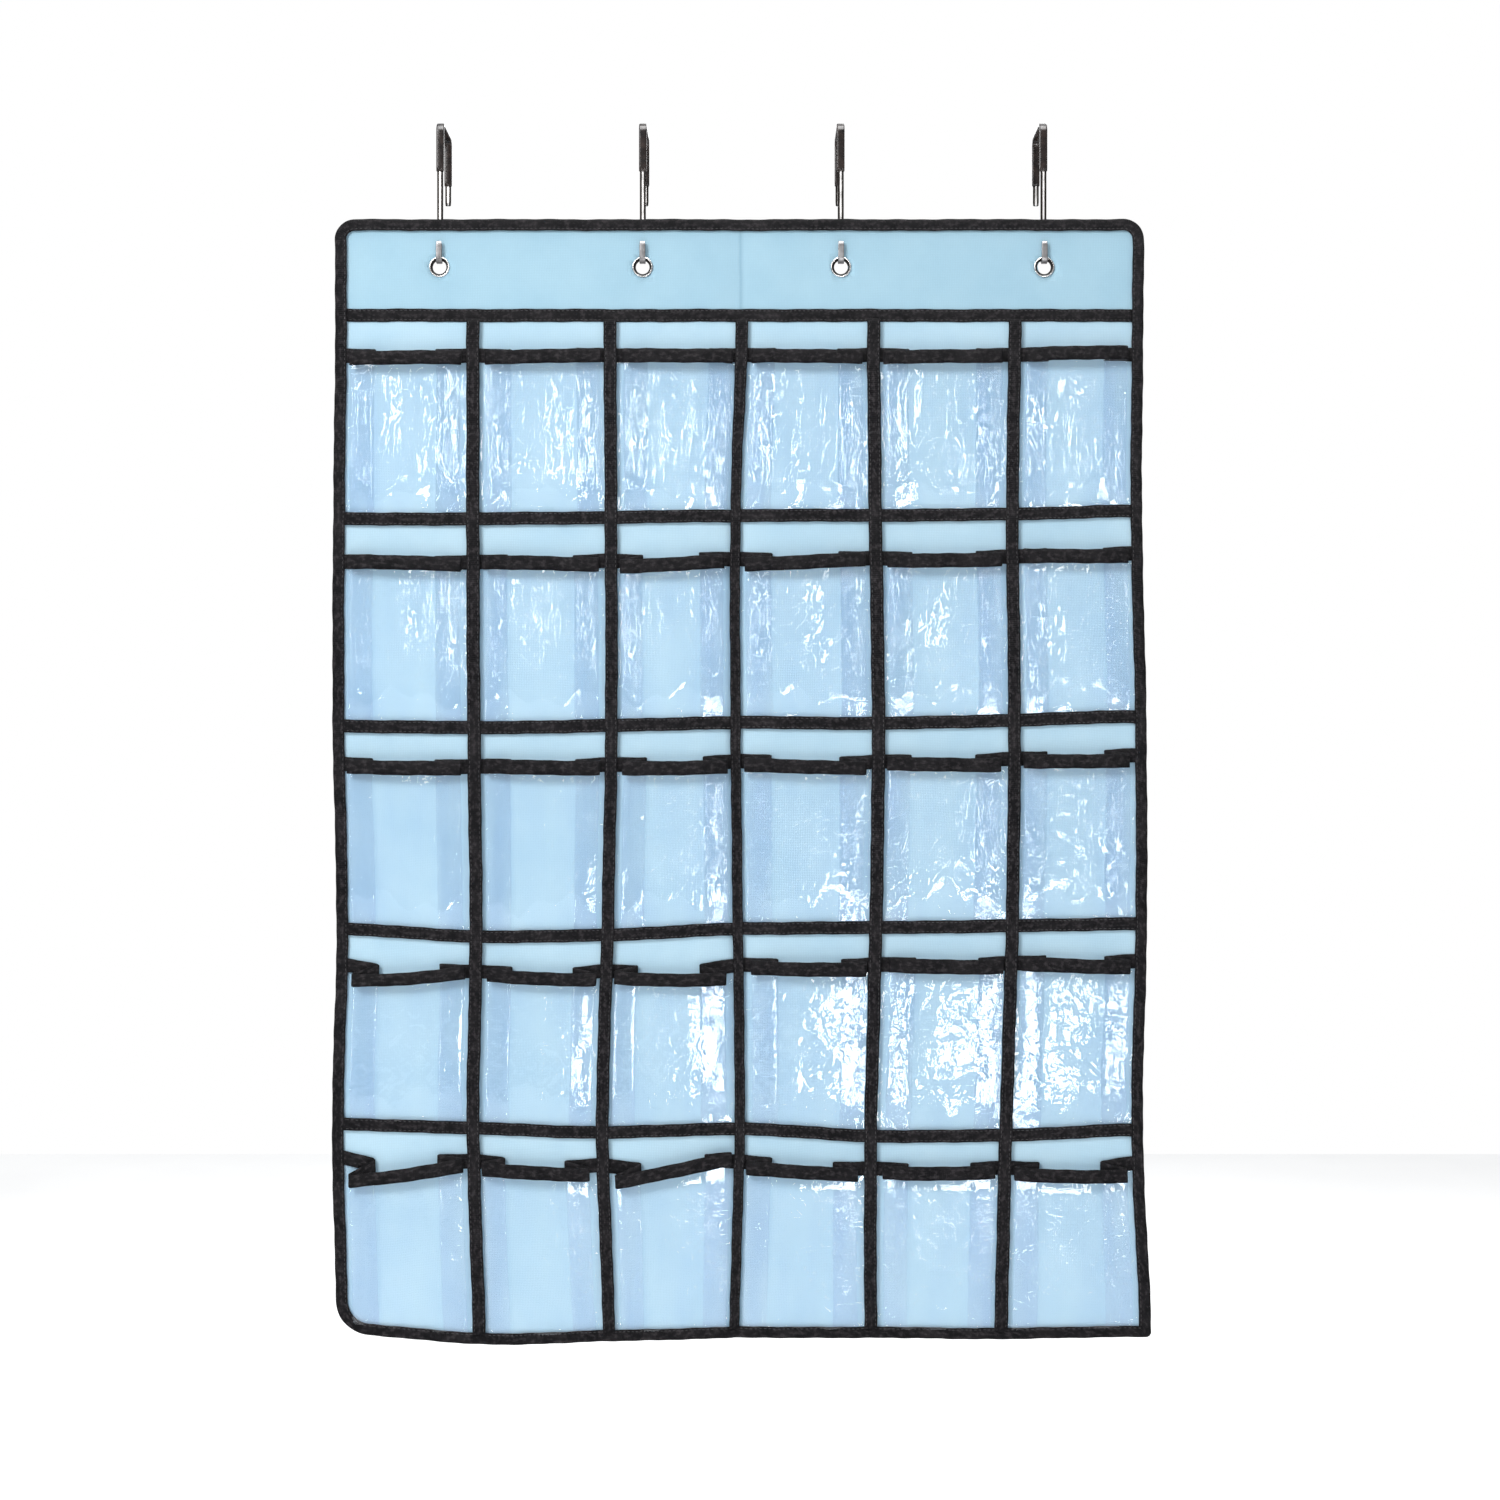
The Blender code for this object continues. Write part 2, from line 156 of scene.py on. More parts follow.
def spline_weights(place, count):
    """How much each of count evenly spaced knots counts at each place, on a Catmull-Rom curve."""
    place = np.clip(place, 0, count - 1)
    start = np.minimum(place.astype(int), count - 2)
    t = place - start
    parts = (-t + 2 * t**2 - t**3, 2 - 5 * t**2 + 3 * t**3, t + 4 * t**2 - 3 * t**3, t**3 - t**2)
    weights = np.zeros((len(place), count))
    for step, part in zip((-1, 0, 1, 2), parts):
        np.add.at(weights, (np.arange(len(place)), np.clip(start + step, 0, count - 1)), part / 2)
    return weights


def smooth(t):
    t = np.clip(t, 0, 1)
    return t * t * (3 - 2 * t)


def stands_forward(x, z):
    """How far the cloth stands in front of the CAD's: a valley at the crease, soft folds beside it."""
    fall = (HEADER_Z - z) / (HEADER_Z - PANEL_LOW.z)
    below = smooth(fall / 0.25)
    valley = np.exp(-(np.hypot(x, CREASE_ROUND) - CREASE_ROUND) / CREASE_WIDTH)
    folds = MM * (1.1 * np.cos(x / 0.060 + 2.0 * fall + 0.6) + 0.8 * np.sin(z / 0.11 + x / 0.19))
    header_fold = 0.25 * MM * np.sin(x / 0.045 + 1.0) * smooth((PANEL_HIGH.z - z) / 0.03)
    beside = below * folds + header_fold
    return below * LOWER_FORWARD + beside * (1 - valley) - (HEADER_VALLEY + VALLEY * below) * valley


def unevenness(along, over, periods):
    """The sewing's small deviations at that place along and across it."""
    (first, first_over), (second, second_over), third = periods
    waves = np.sin(along / first + over / first_over) + np.sin(along / second + over / second_over)
    return WOBBLE * (waves + np.sin(along / third))


def hung(points):
    """Flat points moved to where the cloth really hangs."""
    points = np.asarray(points, float)
    flat = points.reshape(-1, 3)
    x, z = flat[:, 0], flat[:, 2]
    by_line = spline_weights(np.interp(x, LINES_X, range(len(LINES_X))), len(LINES_X))
    by_row = spline_weights(np.interp(-z, [-line for line in LINES_Z], range(len(LINES_Z))), len(LINES_Z))
    stray_right, stray_up = (MM * np.einsum("nr,rl,nl->n", by_row, np.array(stray), by_line)
                             for stray in (STRAY_RIGHT, STRAY_UP))
    pinch = CREASE_PINCH * np.exp(-(x / CREASE_WIDTH) ** 2)
    pinch *= smooth((HEADER_Z - z) / (0.2 * (HEADER_Z - PANEL_LOW.z)))
    moved = np.stack([
        x * (1 - pinch) + stray_right + unevenness(z, x, ((0.0071, 0.019), (0.0173, 0.043), 0.0031)),
        flat[:, 1] - stands_forward(x, z),
        z + stray_up + unevenness(x, z, ((0.0067, 0.023), (0.0181, 0.037), 0.0029)),
    ], 1)
    return moved.reshape(points.shape)


# ---------------- mesh helpers

def grid_faces(rows, columns, wrap_rows=False, wrap_columns=False):
    """Quads between neighbouring points of a grid of points, as an array of four indices each."""
    r = np.arange(rows if wrap_rows else rows - 1)
    c = np.arange(columns if wrap_columns else columns - 1)
    r0, c0 = (a.ravel() for a in np.meshgrid(r, c, indexing="ij"))
    r1, c1 = (r0 + 1) % rows, (c0 + 1) % columns
    return np.stack([r0 * columns + c0, r0 * columns + c1, r1 * columns + c1, r1 * columns + c0], 1)


def add_object(name, data, place=(0, 0, 0)):
    made = bpy.data.objects.new(name, data)
    bpy.context.scene.collection.objects.link(made)
    made.location = place
    return made


def add_mesh(name, points, faces, uv, material):
    """A smooth-shaded mesh object. uv has one flat place for each corner of each face."""
    mesh = bpy.data.meshes.new(name)
    mesh.from_pydata(np.asarray(points).reshape(-1, 3).tolist(), [], np.asarray(faces).tolist())
    mesh.validate()
    if uv is not None:
        layer = mesh.uv_layers.new(name="Flat")
        layer.data.foreach_set("uv", np.asarray(uv, np.float32).ravel())
    mesh.polygons.foreach_set("use_smooth", [True] * len(mesh.polygons))
    mesh.materials.append(material)
    mesh.update()
    made = add_object(name, mesh)
    return made


def add_grid(name, points, along, over, material, wrap_rows=False, wrap_columns=False):
    """A surface through a grid of points. along and over are the flat places of its rows and its columns.

    A wrapped direction has one more flat place than points, for the seam of the UV map.
    """
    rows, columns = points.shape[:2]
    faces = grid_faces(rows, columns, wrap_rows, wrap_columns)
    r, c = faces[:, 0] // columns, faces[:, 0] % columns
    u, v = np.asarray(along), np.asarray(over)
    corners = [np.stack([u[r + a], v[c + b]], 1) for a, b in ((0, 0), (0, 1), (1, 1), (1, 0))]
    return add_mesh(name, points, faces, np.stack(corners, 1), material)


def lengths(points):
    """Distance along a line of points, from 0 at the first."""
    steps = np.linalg.norm(np.diff(points, axis=0), axis=1)
    return np.concatenate([[0], np.cumsum(steps)])


def closed(points):
    """The line of points with its first point again at its end."""
    return np.concatenate([points, points[:1]])


def face_outwards(made, change=None):
    """Turns a piece's faces outwards, after a change to its mesh if one is given."""
    mesh = bmesh.new()
    mesh.from_mesh(made.data)
    if change:
        change(mesh)
    bmesh.ops.recalc_face_normals(mesh, faces=mesh.faces)
    mesh.to_mesh(made.data)
    mesh.free()
    return made


def close_ends(made, ring, rings):
    """Caps both ends of a tube of rings, each of ring points."""
    def cap(mesh):
        mesh.verts.ensure_lookup_table()
        for first in (0, (rings - 1) * ring):
            loop = [mesh.verts[first + i] for i in range(ring)]
            mesh.faces.new(loop if first == 0 else loop[::-1])
    return face_outwards(made, cap)


# ---------------- materials

class Graph:
    """The node tree of a material, or of another store's item, with one short call for each node."""

    def __init__(self, name, store=bpy.data.materials):
        self.item = store.new(name)
        self.item.use_nodes = True
        self.tree = self.item.node_tree
        self.tree.nodes.clear()

    def node(self, kind, inputs=None, **settings):
        """A node. Each input is given by name or number, and is a value or another node's output."""
        made = self.tree.nodes.new("ShaderNode" + kind)
        for name, value in settings.items():
            setattr(made, name, value)
        for key, value in (inputs or {}).items():
            if isinstance(value, bpy.types.NodeSocket):
                self.tree.links.new(value, made.inputs[key])
            else:
                made.inputs[key].default_value = value
        return made

    def place(self, scale=(1, 1, 1), space="Object"):
        """The place in the frame, for metal, vinyl, thread and the floor."""
        at = self.node("TexCoord").outputs[space]
        return self.node("Mapping", {"Vector": at, "Scale": scale}).outputs["Vector"]

    def flat_place(self, scale=(1, 1, 1)):
        """The place on the flat piece: its UV map, which is in metres."""
        return self.place(scale, "UV")

    def axis(self, vector, letter):
        return self.node("SeparateXYZ", {0: vector}).outputs[letter]

    def noise(self, vector, scale, detail, rough, distortion=0.0):
        made = self.node("TexNoise", {
            "Vector": vector, "Scale": scale, "Detail": detail, "Roughness": rough, "Distortion": distortion,
        })
        return made.outputs["Fac"]

    def wave(self, vector, scale, direction, distortion):
        made = self.node("TexWave", {
            "Vector": vector, "Scale": scale, "Distortion": distortion, "Detail": 2.0, "Detail Scale": 2.0,
        }, bands_direction=direction, wave_profile="SIN")
        return made.outputs["Fac"]

    def ramp(self, fac, *stops):
        """A colour ramp; each stop is (place, colour)."""
        made = self.node("ValToRGB", {"Fac": fac})
        ramp = made.color_ramp
        while len(ramp.elements) < len(stops):
            ramp.elements.new(0.5)
        for element, (at, colour) in zip(ramp.elements, stops):
            element.position = at
            element.color = (*colour, 1.0)
        return made.outputs["Color"]

    def to_range(self, value, low, high, from_low=0.0, from_high=1.0):
        """The value moved from the second range into the first, and kept inside it."""
        made = self.node("MapRange", {
            "Value": value, "From Min": from_low, "From Max": from_high, "To Min": low, "To Max": high,
        })
        return made.outputs["Result"]

    def maths(self, operation, a, b=0.0):
        return self.node("Math", {0: a, 1: b}, operation=operation).outputs["Value"]

    def mix(self, fac, a, b, blend="MIX"):
        inputs = {0: fac, 6: a, 7: b}
        return self.node("Mix", inputs, data_type="RGBA", blend_type=blend).outputs[2]

    def bump(self, height, distance, strength, under=None):
        inputs = {"Height": height, "Distance": distance, "Strength": strength}
        if under is not None:
            inputs["Normal"] = under
        return self.node("Bump", inputs).outputs["Normal"]

    def shader(self, kind, inputs, **settings):
        return self.node(kind, inputs, **settings).outputs[0]

    def mix_shaders(self, fac, a, b):
        return self.shader("MixShader", {0: fac, 1: a, 2: b})

    def principled(self, colour, rough, normal, **others):
        """A Principled shader. The others are its further inputs, with _ for each space in their names."""
        inputs = {"Base Color": colour, "Roughness": rough, "Normal": normal}
        inputs.update({name.replace("_", " "): value for name, value in others.items()})
        return self.shader("BsdfPrincipled", inputs)

    def finish(self, shader):
        self.node("OutputMaterial", {"Surface": shader})
        return self.item


def cloth_material():
    """Thin sky-blue cloth: a fine weave, soft mottling, a little light through it. The header is two layers
    and is painted darker, as shade for the light that no longer comes through it, and a painted shade line
    runs down the crease.
    """
    g = Graph("backing_cloth")
    flat = g.flat_place()
    weave = g.maths("MULTIPLY", g.wave(flat, 260, "X", 1.5), g.wave(flat, 260, "Y", 1.5))
    fibres = g.noise(g.flat_place((1, 0.15, 1)), 1400, 4.0, 0.7)
    mottle = g.noise(flat, 22, 4.0, 0.6)
    header = g.to_range(g.axis(flat, "Y"), 0.0, 1.0, HEADER_Z - 2 * MM, HEADER_Z + 2 * MM)
    single = g.ramp(mottle, (0.30, (0.515, 0.755, 0.905)), (0.70, (0.585, 0.815, 0.945)))
    # Painted shade: the header's two layers let less light through, so they get a darker copy of the cloth's
    # colour.
    two_layer_shaded = g.ramp(mottle, (0.30, (0.400, 0.640, 0.780)), (0.70, (0.450, 0.690, 0.820)))
    # Painted shade along the crease: a darker line just left of its middle, fading out to the right.
    crease = g.ramp(
        g.to_range(g.axis(flat, "X"), 0.0, 1.0, -8 * MM, 8 * MM),
        (0.30, (1, 1, 1)), (0.42, (0.76, 0.82, 0.86)), (0.50, (0.90, 0.92, 0.94)), (0.62, (1, 1, 1)),
    )
    base = g.mix(0.9, g.mix(header, single, two_layer_shaded), crease, "MULTIPLY")
    shade = g.to_range(g.maths("ADD", weave, fibres), 0.94, 1.03, 0.3, 1.5)
    grey = g.node("CombineXYZ", {0: shade, 1: shade, 2: shade})
    colour = g.mix(1.0, base, grey.outputs[0], "MULTIPLY")
    normal = g.bump(fibres, 0.0001, 0.4, g.bump(weave, 0.00012, 0.5))
    cloth = g.principled(colour, g.to_range(fibres, 0.72, 0.92), normal,
                         Specular_IOR_Level=0.25, Sheen_Weight=0.25, Sheen_Roughness=0.5)
    through = g.shader("BsdfTranslucent", {"Color": colour, "Normal": normal})
    return g.finish(g.mix_shaders(0.12, cloth, through))


def tape_material():
    """Near-black binding tape: cross ribs, a woven mottle, a faint sheen, a little greyer where it wears."""
    g = Graph("binding_tape")
    flat = g.flat_place()
    ribs = g.wave(flat, 210, "X", 2.0)
    cords = g.wave(flat, 330, "Y", 1.0)
    mottle = g.noise(g.flat_place((1, 1.6, 1)), 210, 3.0, 0.6)
    patches = g.noise(flat, 60, 3.0, 0.6)
    woven = g.ramp(
        mottle,
        (0.36, (0.001, 0.001, 0.002)), (0.50, (0.006, 0.0055, 0.007)), (0.66, (0.050, 0.044, 0.048)),
    )
    worn = g.ramp(patches, (0.42, (0.002, 0.002, 0.003)), (0.66, (0.022, 0.020, 0.022)))
    height = g.maths("ADD", ribs, g.maths("MULTIPLY", cords, 0.5))
    normal = g.bump(mottle, 0.0003, 0.5, g.bump(height, 0.00022, 0.6))
    return g.finish(g.principled(g.mix(0.45, woven, worn), g.to_range(mottle, 0.62, 0.88), normal,
                                 Specular_IOR_Level=0.09, Sheen_Weight=0.02, Sheen_Roughness=0.4))


def thread_material():
    """Black sewing thread with its twist."""
    g = Graph("sewing_thread")
    twist = g.wave(g.place(), 900, "DIAGONAL", 1.0)
    colour = g.ramp(twist, (0.2, (0.012, 0.012, 0.014)), (0.8, (0.055, 0.052, 0.056)))
    return g.finish(g.principled(colour, g.to_range(twist, 0.45, 0.7), g.bump(twist, 0.0001, 0.6)))


def film_material(name, crumpled):
    """Clear soft plastic film: it tints what is behind it a little blue, hazes it and mirrors the lights.

    Fine sharp creases cross it near its sewn bottom, and all over the right of a row that is crumpled.
    """
    g = Graph(name)
    flat = g.flat_place()
    ripples = g.noise(g.flat_place((0.14, 1, 1)), 90, 1.0, 0.4)
    crinkle = g.noise(g.flat_place((0.7, 1, 1)), 85, 1.0, 0.4, 1.3)
    orange_peel = g.noise(flat, 420, 2.0, 0.5)
    scuffs = g.noise(g.flat_place((0.3, 1, 1)), 55, 5.0, 0.7)
    streaks = g.noise(g.flat_place((0.12, 1, 1)), 60, 2.0, 0.5)

    folded = g.noise(g.flat_place((0.9, 1, 1)), 95, 1.0, 0.5, 1.9)
    from_fold = g.maths("ABSOLUTE", g.maths("SUBTRACT", folded, 0.5))
    crease = g.to_range(from_fold, 1.0, 0.0, 0.0, 0.045)
    low_down = g.to_range(g.axis(flat, "X"), 0.10, 0.85, 0.105, 0.150)
    to_the_right = g.to_range(g.axis(flat, "Y"), 0.0, crumpled, 0.36, 0.52)
    creased = g.maths("MULTIPLY", crease, g.maths("MAXIMUM", low_down, to_the_right))

    normal = g.bump(ripples, 0.0013, 0.5)
    normal = g.bump(crinkle, 0.0004 + 0.0006 * crumpled, 0.5, normal)
    normal = g.bump(creased, 0.0004, 0.7, normal)
    normal = g.bump(orange_peel, 0.00001, 0.5, normal)

    tint = g.ramp(
        streaks,
        (0.32, (0.918, 0.939, 0.976)), (0.50, (0.950, 0.963, 0.984)), (0.68, (0.972, 0.979, 0.988)),
    )
    clear = g.shader("BsdfTransparent", {"Color": tint})
    rough = g.to_range(scuffs, 0.006, 0.026, 0.3, 0.8)
    gloss = {"Color": (1, 1, 1, 1), "Roughness": rough, "Normal": normal}
    shine = g.shader("BsdfGlossy", gloss, distribution="BECKMANN")
    facing = g.node("LayerWeight", {"Blend": 0.5, "Normal": normal}).outputs["Facing"]
    mirror = g.to_range(g.maths("POWER", facing, 3.0), 0.034, 0.13)
    milky = g.shader("BsdfDiffuse", {"Color": (0.66, 0.82, 0.96, 1), "Normal": normal})
    haze = g.to_range(scuffs, 0.005, 0.028, 0.3, 0.8)
    return g.finish(g.mix_shaders(haze, g.mix_shaders(mirror, clear, shine), milky))


def smudges_on(g):
    return g.noise(g.place(), 130, 4.0, 0.6)


def plated(g, colour, roughness, scratch_depth, metallic=1.0, specular=0.5):
    """Plated steel of that colour: fine upright scratches, and rougher where it is scratched and smudged."""
    scratches = g.noise(g.place((1, 1, 0.08)), 2600, 3.0, 0.6)
    rough = g.to_range(g.maths("ADD", scratches, smudges_on(g)), *roughness, 0.6, 1.4)
    normal = g.bump(scratches, scratch_depth, 0.35)
    return g.finish(g.principled(colour, rough, normal, Metallic=metallic, Specular_IOR_Level=specular))


def eyelet_material(name, dark, light, roughness, metallic=1.0, specular=0.5):
    """Pressed steel, mottled from dark to light."""
    g = Graph(name)
    colour = g.ramp(smudges_on(g), (0.35, dark), (0.65, light))
    return plated(g, colour, roughness, 0.00004, metallic, specular)


def hook_steel_material():
    """The hooks' plated strip: plain at its tip, and beyond it a painted highlight down the middle of each
    face with painted shade at its edges.
    """
    g = Graph("hook_steel")
    flat = g.flat_place()
    smudges = smudges_on(g)
    plain = g.ramp(smudges, (0.3, (0.15, 0.145, 0.145)), (0.7, (0.24, 0.235, 0.24)))
    # Painted highlight and shade around the strip's section, from a cosine that peaks at the middle of each
    # face.
    from_middle = g.maths("SUBTRACT", g.axis(flat, "Y"), FACE_MIDDLE)
    turns = g.maths("MULTIPLY", from_middle, 4 * math.pi / STRIP_ROUND)
    shade = g.maths("ADD", g.maths("COSINE", turns), g.to_range(smudges, -0.2, 0.2))
    painted_shade_and_highlight = g.ramp(
        g.to_range(shade, 0.0, 1.0, -1.2, 1.2),
        (0.60, (0.012, 0.010, 0.009)), (0.78, (0.20, 0.19, 0.18)), (0.90, (0.80, 0.78, 0.77)),
    )
    shank = g.to_range(g.axis(flat, "X"), 0.0, 1.0, 26 * MM, 32 * MM)
    return plated(g, g.mix(shank, plain, painted_shade_and_highlight), (0.28, 0.42), 0.00001)


def sleeve_material():
    """Dark brown vinyl sleeve, glossy, with scuffs."""
    g = Graph("hook_sleeve")
    cloudy = g.noise(g.place(), 160, 4.0, 0.6)
    scuffs = g.noise(g.place((1, 1, 0.2)), 900, 3.0, 0.6)
    colour = g.ramp(cloudy, (0.35, (0.006, 0.004, 0.004)), (0.7, (0.034, 0.022, 0.018)))
    return g.finish(g.principled(colour, g.to_range(scuffs, 0.14, 0.34), g.bump(scuffs, 0.00008, 0.4),
                                 Specular_IOR_Level=0.30, Coat_Weight=0.15, Coat_Roughness=0.12))


def floor_material():
    g = Graph("pale_floor")
    cloudy = g.noise(g.place(), 3, 4.0, 0.6)
    colour = g.ramp(cloudy, (0.3, (0.86, 0.86, 0.86)), (0.7, (0.90, 0.90, 0.90)))
    inputs = {"Base Color": colour, "Roughness": 0.8, "Emission Color": colour, "Emission Strength": 0.55}
    return g.finish(g.shader("BsdfPrincipled", inputs))


CRUMPLED = (0.15, 0.25, 0.6, 1.0, 0.1)  # how crumpled each row's film is at the right
CLOTH = cloth_material()
TAPE = tape_material()
THREAD = thread_material()
FILMS = [film_material(f"pocket_film_{row}", crumpled) for row, crumpled in enumerate(CRUMPLED, 1)]
EYELET_STEEL = eyelet_material("eyelet_steel", (0.50, 0.49, 0.48), (0.78, 0.78, 0.78), (0.16, 0.34))
# Painted shade: the inside of the eyelets gets a dark, dull, non-metal colour for the shadow and dark
# reflection in the throat and bore, so that it stays dark at a slant.
BORE_PAINTED_SHADE = eyelet_material(
    "eyelet_bore_painted_shade", (0.006, 0.005, 0.005), (0.022, 0.020, 0.019), (0.45, 0.60), 0.0, 0.15,
)
HOOK_STEEL = hook_steel_material()
VINYL = sleeve_material()


# ---------------- pieces that cross the crease, and which half a piece lies on

def crosses_crease(piece, *nodes):
    """A piece that crosses the crease, its transform baked into its mesh, in place of its CAD halves."""
    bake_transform(piece)
    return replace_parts(piece, *nodes) if nodes else piece


def half_at(x):
    return "left_half" if x < 0 else "right_half"


# ---------------- stitches

STITCH, STITCH_PITCH = 2.4 * MM, 3.3 * MM
STITCH_INSET = 1.4 * MM  # from a tape's edge
STITCH_SUNK = 0.1 * MM
THREAD_RADIUS = 0.22 * MM
# Each stitch is a short lozenge of thread with four rings: how far along it each is, and how wide.
STITCH_RINGS = ((0.0, 0.35), (0.25, 1.0), (0.75, 1.0), (1.0, 0.35))


def stitch_line(points, outward, look_back=0.0):
    """Points of the stitches along a line of flat points. outward is one direction, or one for each point.

    Each stitch points to what lies 1 mm ahead, seen from look_back behind its place.
    """
    at = lengths(points)
    starts = np.arange(STITCH_PITCH / 2, at[-1] - STITCH, STITCH_PITCH)
    outward = np.broadcast_to(np.asarray(outward, float), points.shape)

    def pick(rows, places):
        return np.stack([np.interp(places, at, rows[:, i]) for i in range(3)], 1)

    rings = []
    for share, size in STITCH_RINGS:
        places = starts + share * STITCH
        middle, out = pick(points, places), pick(outward, places)
        ahead = pick(points, places - look_back + MM) - pick(points, places - look_back)
        ahead /= np.maximum(np.linalg.norm(ahead, axis=1, keepdims=True), 1e-9)
        aside = np.cross(ahead, out)
        lift = THREAD_RADIUS * (size - 1) - STITCH_SUNK
        for a, b in ((1, 0), (0, 1), (-1, 0), (0, -1)):
            rings.append(middle + THREAD_RADIUS * size * (a * aside + b * out) + lift * out)
    return np.stack(rings, 1).reshape(-1, 4, 4, 3)


def add_stitches(name, lines):
    """All the stitches of several lines as one piece, hung with the cloth."""
    stitches = np.concatenate(lines)
    ring = grid_faces(4, 4, wrap_columns=True)
    caps = np.array([[3, 2, 1, 0], [12, 13, 14, 15]])
    one = np.concatenate([ring, caps])
    faces = (one[None] + 16 * np.arange(len(stitches))[:, None, None]).reshape(-1, 4)
    made = add_mesh(name, hung(stitches), faces, None, THREAD)
    return face_outwards(made)


# ---------------- tapes

def tape_section(width, thickness):
    """Round a flat tape: (sideways, outward), with eased edges and a groove at each line of stitches."""
    half = width / 2
    line = half - STITCH_INSET
    aside, groove = 0.6 * MM, 0.12 * MM
    front = [(-half, 0.55 * thickness), (-half + 0.3 * MM, 0.9 * thickness), (-line - aside, thickness),
             (-line, thickness - groove), (-line + aside, thickness), (0.0, 1.05 * thickness)]
    mirrored = [(-side, out) for side, out in reversed(front[:-1])]
    return np.array(front + mirrored + [(half - 0.2 * MM, 0.0), (0.0, 0.0), (-half + 0.2 * MM, 0.0)])


def tape_run(start, end, sideways, width, thickness):
    """What straight_tape and tape_stitches need to know of a tape, with its places as arrays."""
    return *np.array([start, end, sideways], float), width, thickness


def straight_tape(name, start, end, sideways, width, thickness, step=3 * MM):
    """A tape along a straight line on the flat panel. start and end are the middle of its back face."""
    count = max(2, int(round(np.linalg.norm(end - start) / step)) + 1)
    middle = start + (end - start) * np.linspace(0, 1, count)[:, None]
    section = tape_section(width, thickness)
    outward = np.array([0.0, -1.0, 0.0])
    points = middle[:, None] + section[None, :, :1] * sideways + section[None, :, 1:] * outward
    along = lengths(middle)
    over = lengths(closed(section))
    made = add_grid(name, hung(points), along, over, TAPE, wrap_columns=True)
    return close_ends(made, len(section), count)


def tape_stitches(start, end, sideways, width, thickness):
    """The two lines of stitches along a straight tape, on its front and on the cloth's back."""
    lines = []
    for side in (-1, 1):
        for lift, way in ((-thickness, -1), (CLOTH_BACK - start[1], 1)):
            offset = side * (width / 2 - STITCH_INSET) * sideways + np.array([0.0, lift, 0.0])
            lines.append(stitch_line(np.stack([start + offset, end + offset]), (0, way, 0)))
    return lines


def make_row_tapes():
    """The header tape and the tapes under each row of pockets, from one edge binding to the other."""
    made, stitches = [], []
    for name in ["header_tape"] + [f"row_tape_{row}" for row in range(1, ROWS)]:
        low, high = reach(*both(name))
        middle = (low.z + high.z) / 2
        run = tape_run(
            (low.x - MM, high.y, middle), (high.x + MM, high.y, middle), (0, 0, 1),
            high.z - low.z, high.y - low.y,
        )
        made.append(crosses_crease(straight_tape(name, *run), *both(name)))
        stitches += tape_stitches(*run)
    made.append(crosses_crease(add_stitches("row_tape_stitches", stitches)))
    return made


def make_column_tapes():
    """The vertical tapes between the pockets. The middle one lies in the crease, in place of both its CAD
    halves.
    """
    made = []
    for name, x in zip(COLUMN_NAMES, COLUMNS_X):
        nodes = [name] if name else both("centre_tape")
        low, high = reach(*nodes)
        run = tape_run(
            (x, high.y, high.z + 2 * MM), (x, high.y, low.z - 2 * MM), (1, 0, 0),
            high.x - low.x, high.y - low.y,
        )
        piece = straight_tape((name or "centre_tape") + "_cloth", *run)
        thread = add_stitches((name or "centre_tape") + "_stitches", tape_stitches(*run))
        if name:
            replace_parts(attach(piece, half_at(x)), name)
            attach(thread, half_at(x))
        else:
            crosses_crease(piece, *nodes)
            crosses_crease(thread)
        made += [piece, thread]
    return made


# ---------------- edge binding and cloth

BINDING_FRONT = CLOTH_FRONT - 2.2 * MM  # stands over the film's sewn margin
BINDING_BACK = CLOTH_BACK + 1.1 * MM
BINDING_THICKNESS = 0.75 * MM
CLOTH_INSET, CLOTH_STEP = 2 * MM, 4.5 * MM  # from the panel's edge, and between the points of the cloth


def panel_outline(inset, arc_steps=14, side_step=3.5 * MM):
    """The panel's rounded outline that far inside its edge, clockwise from the top left, as (x, z) rows.

    Every inset gives the same number of points, so outlines at several insets can be joined.
    """
    arcs = []
    for inward_x, inward_z, number in ((1, -1, 0), (-1, -1, 1), (-1, 1, 3), (1, 1, 2)):
        x, z = -inward_x * HALF_WIDTH, PANEL_HIGH.z if inward_z < 0 else PANEL_LOW.z
        radius = CORNER_RADII[number]
        turn = max(radius - inset, 0.3 * MM)
        reach_in = max(radius, inset + turn)
        middle = np.array([x + inward_x * reach_in, z + inward_z * reach_in])
        angle = np.linspace(0, math.pi / 2, arc_steps)
        bend = middle - turn * np.stack([inward_x * np.cos(angle), inward_z * np.sin(angle)], 1)
        arcs.append(bend if inward_x * inward_z < 0 else bend[::-1])
    points = []
    sides = (2 * HALF_WIDTH, PANEL_HIGH.z - PANEL_LOW.z) * 2
    for this, after, side in zip(arcs, arcs[1:] + arcs[:1], sides):
        share = np.linspace(0, 1, int(side / side_step), endpoint=False)[1:, None]
        points += [this, this[-1] + (after[0] - this[-1]) * share]
    return np.concatenate(points)


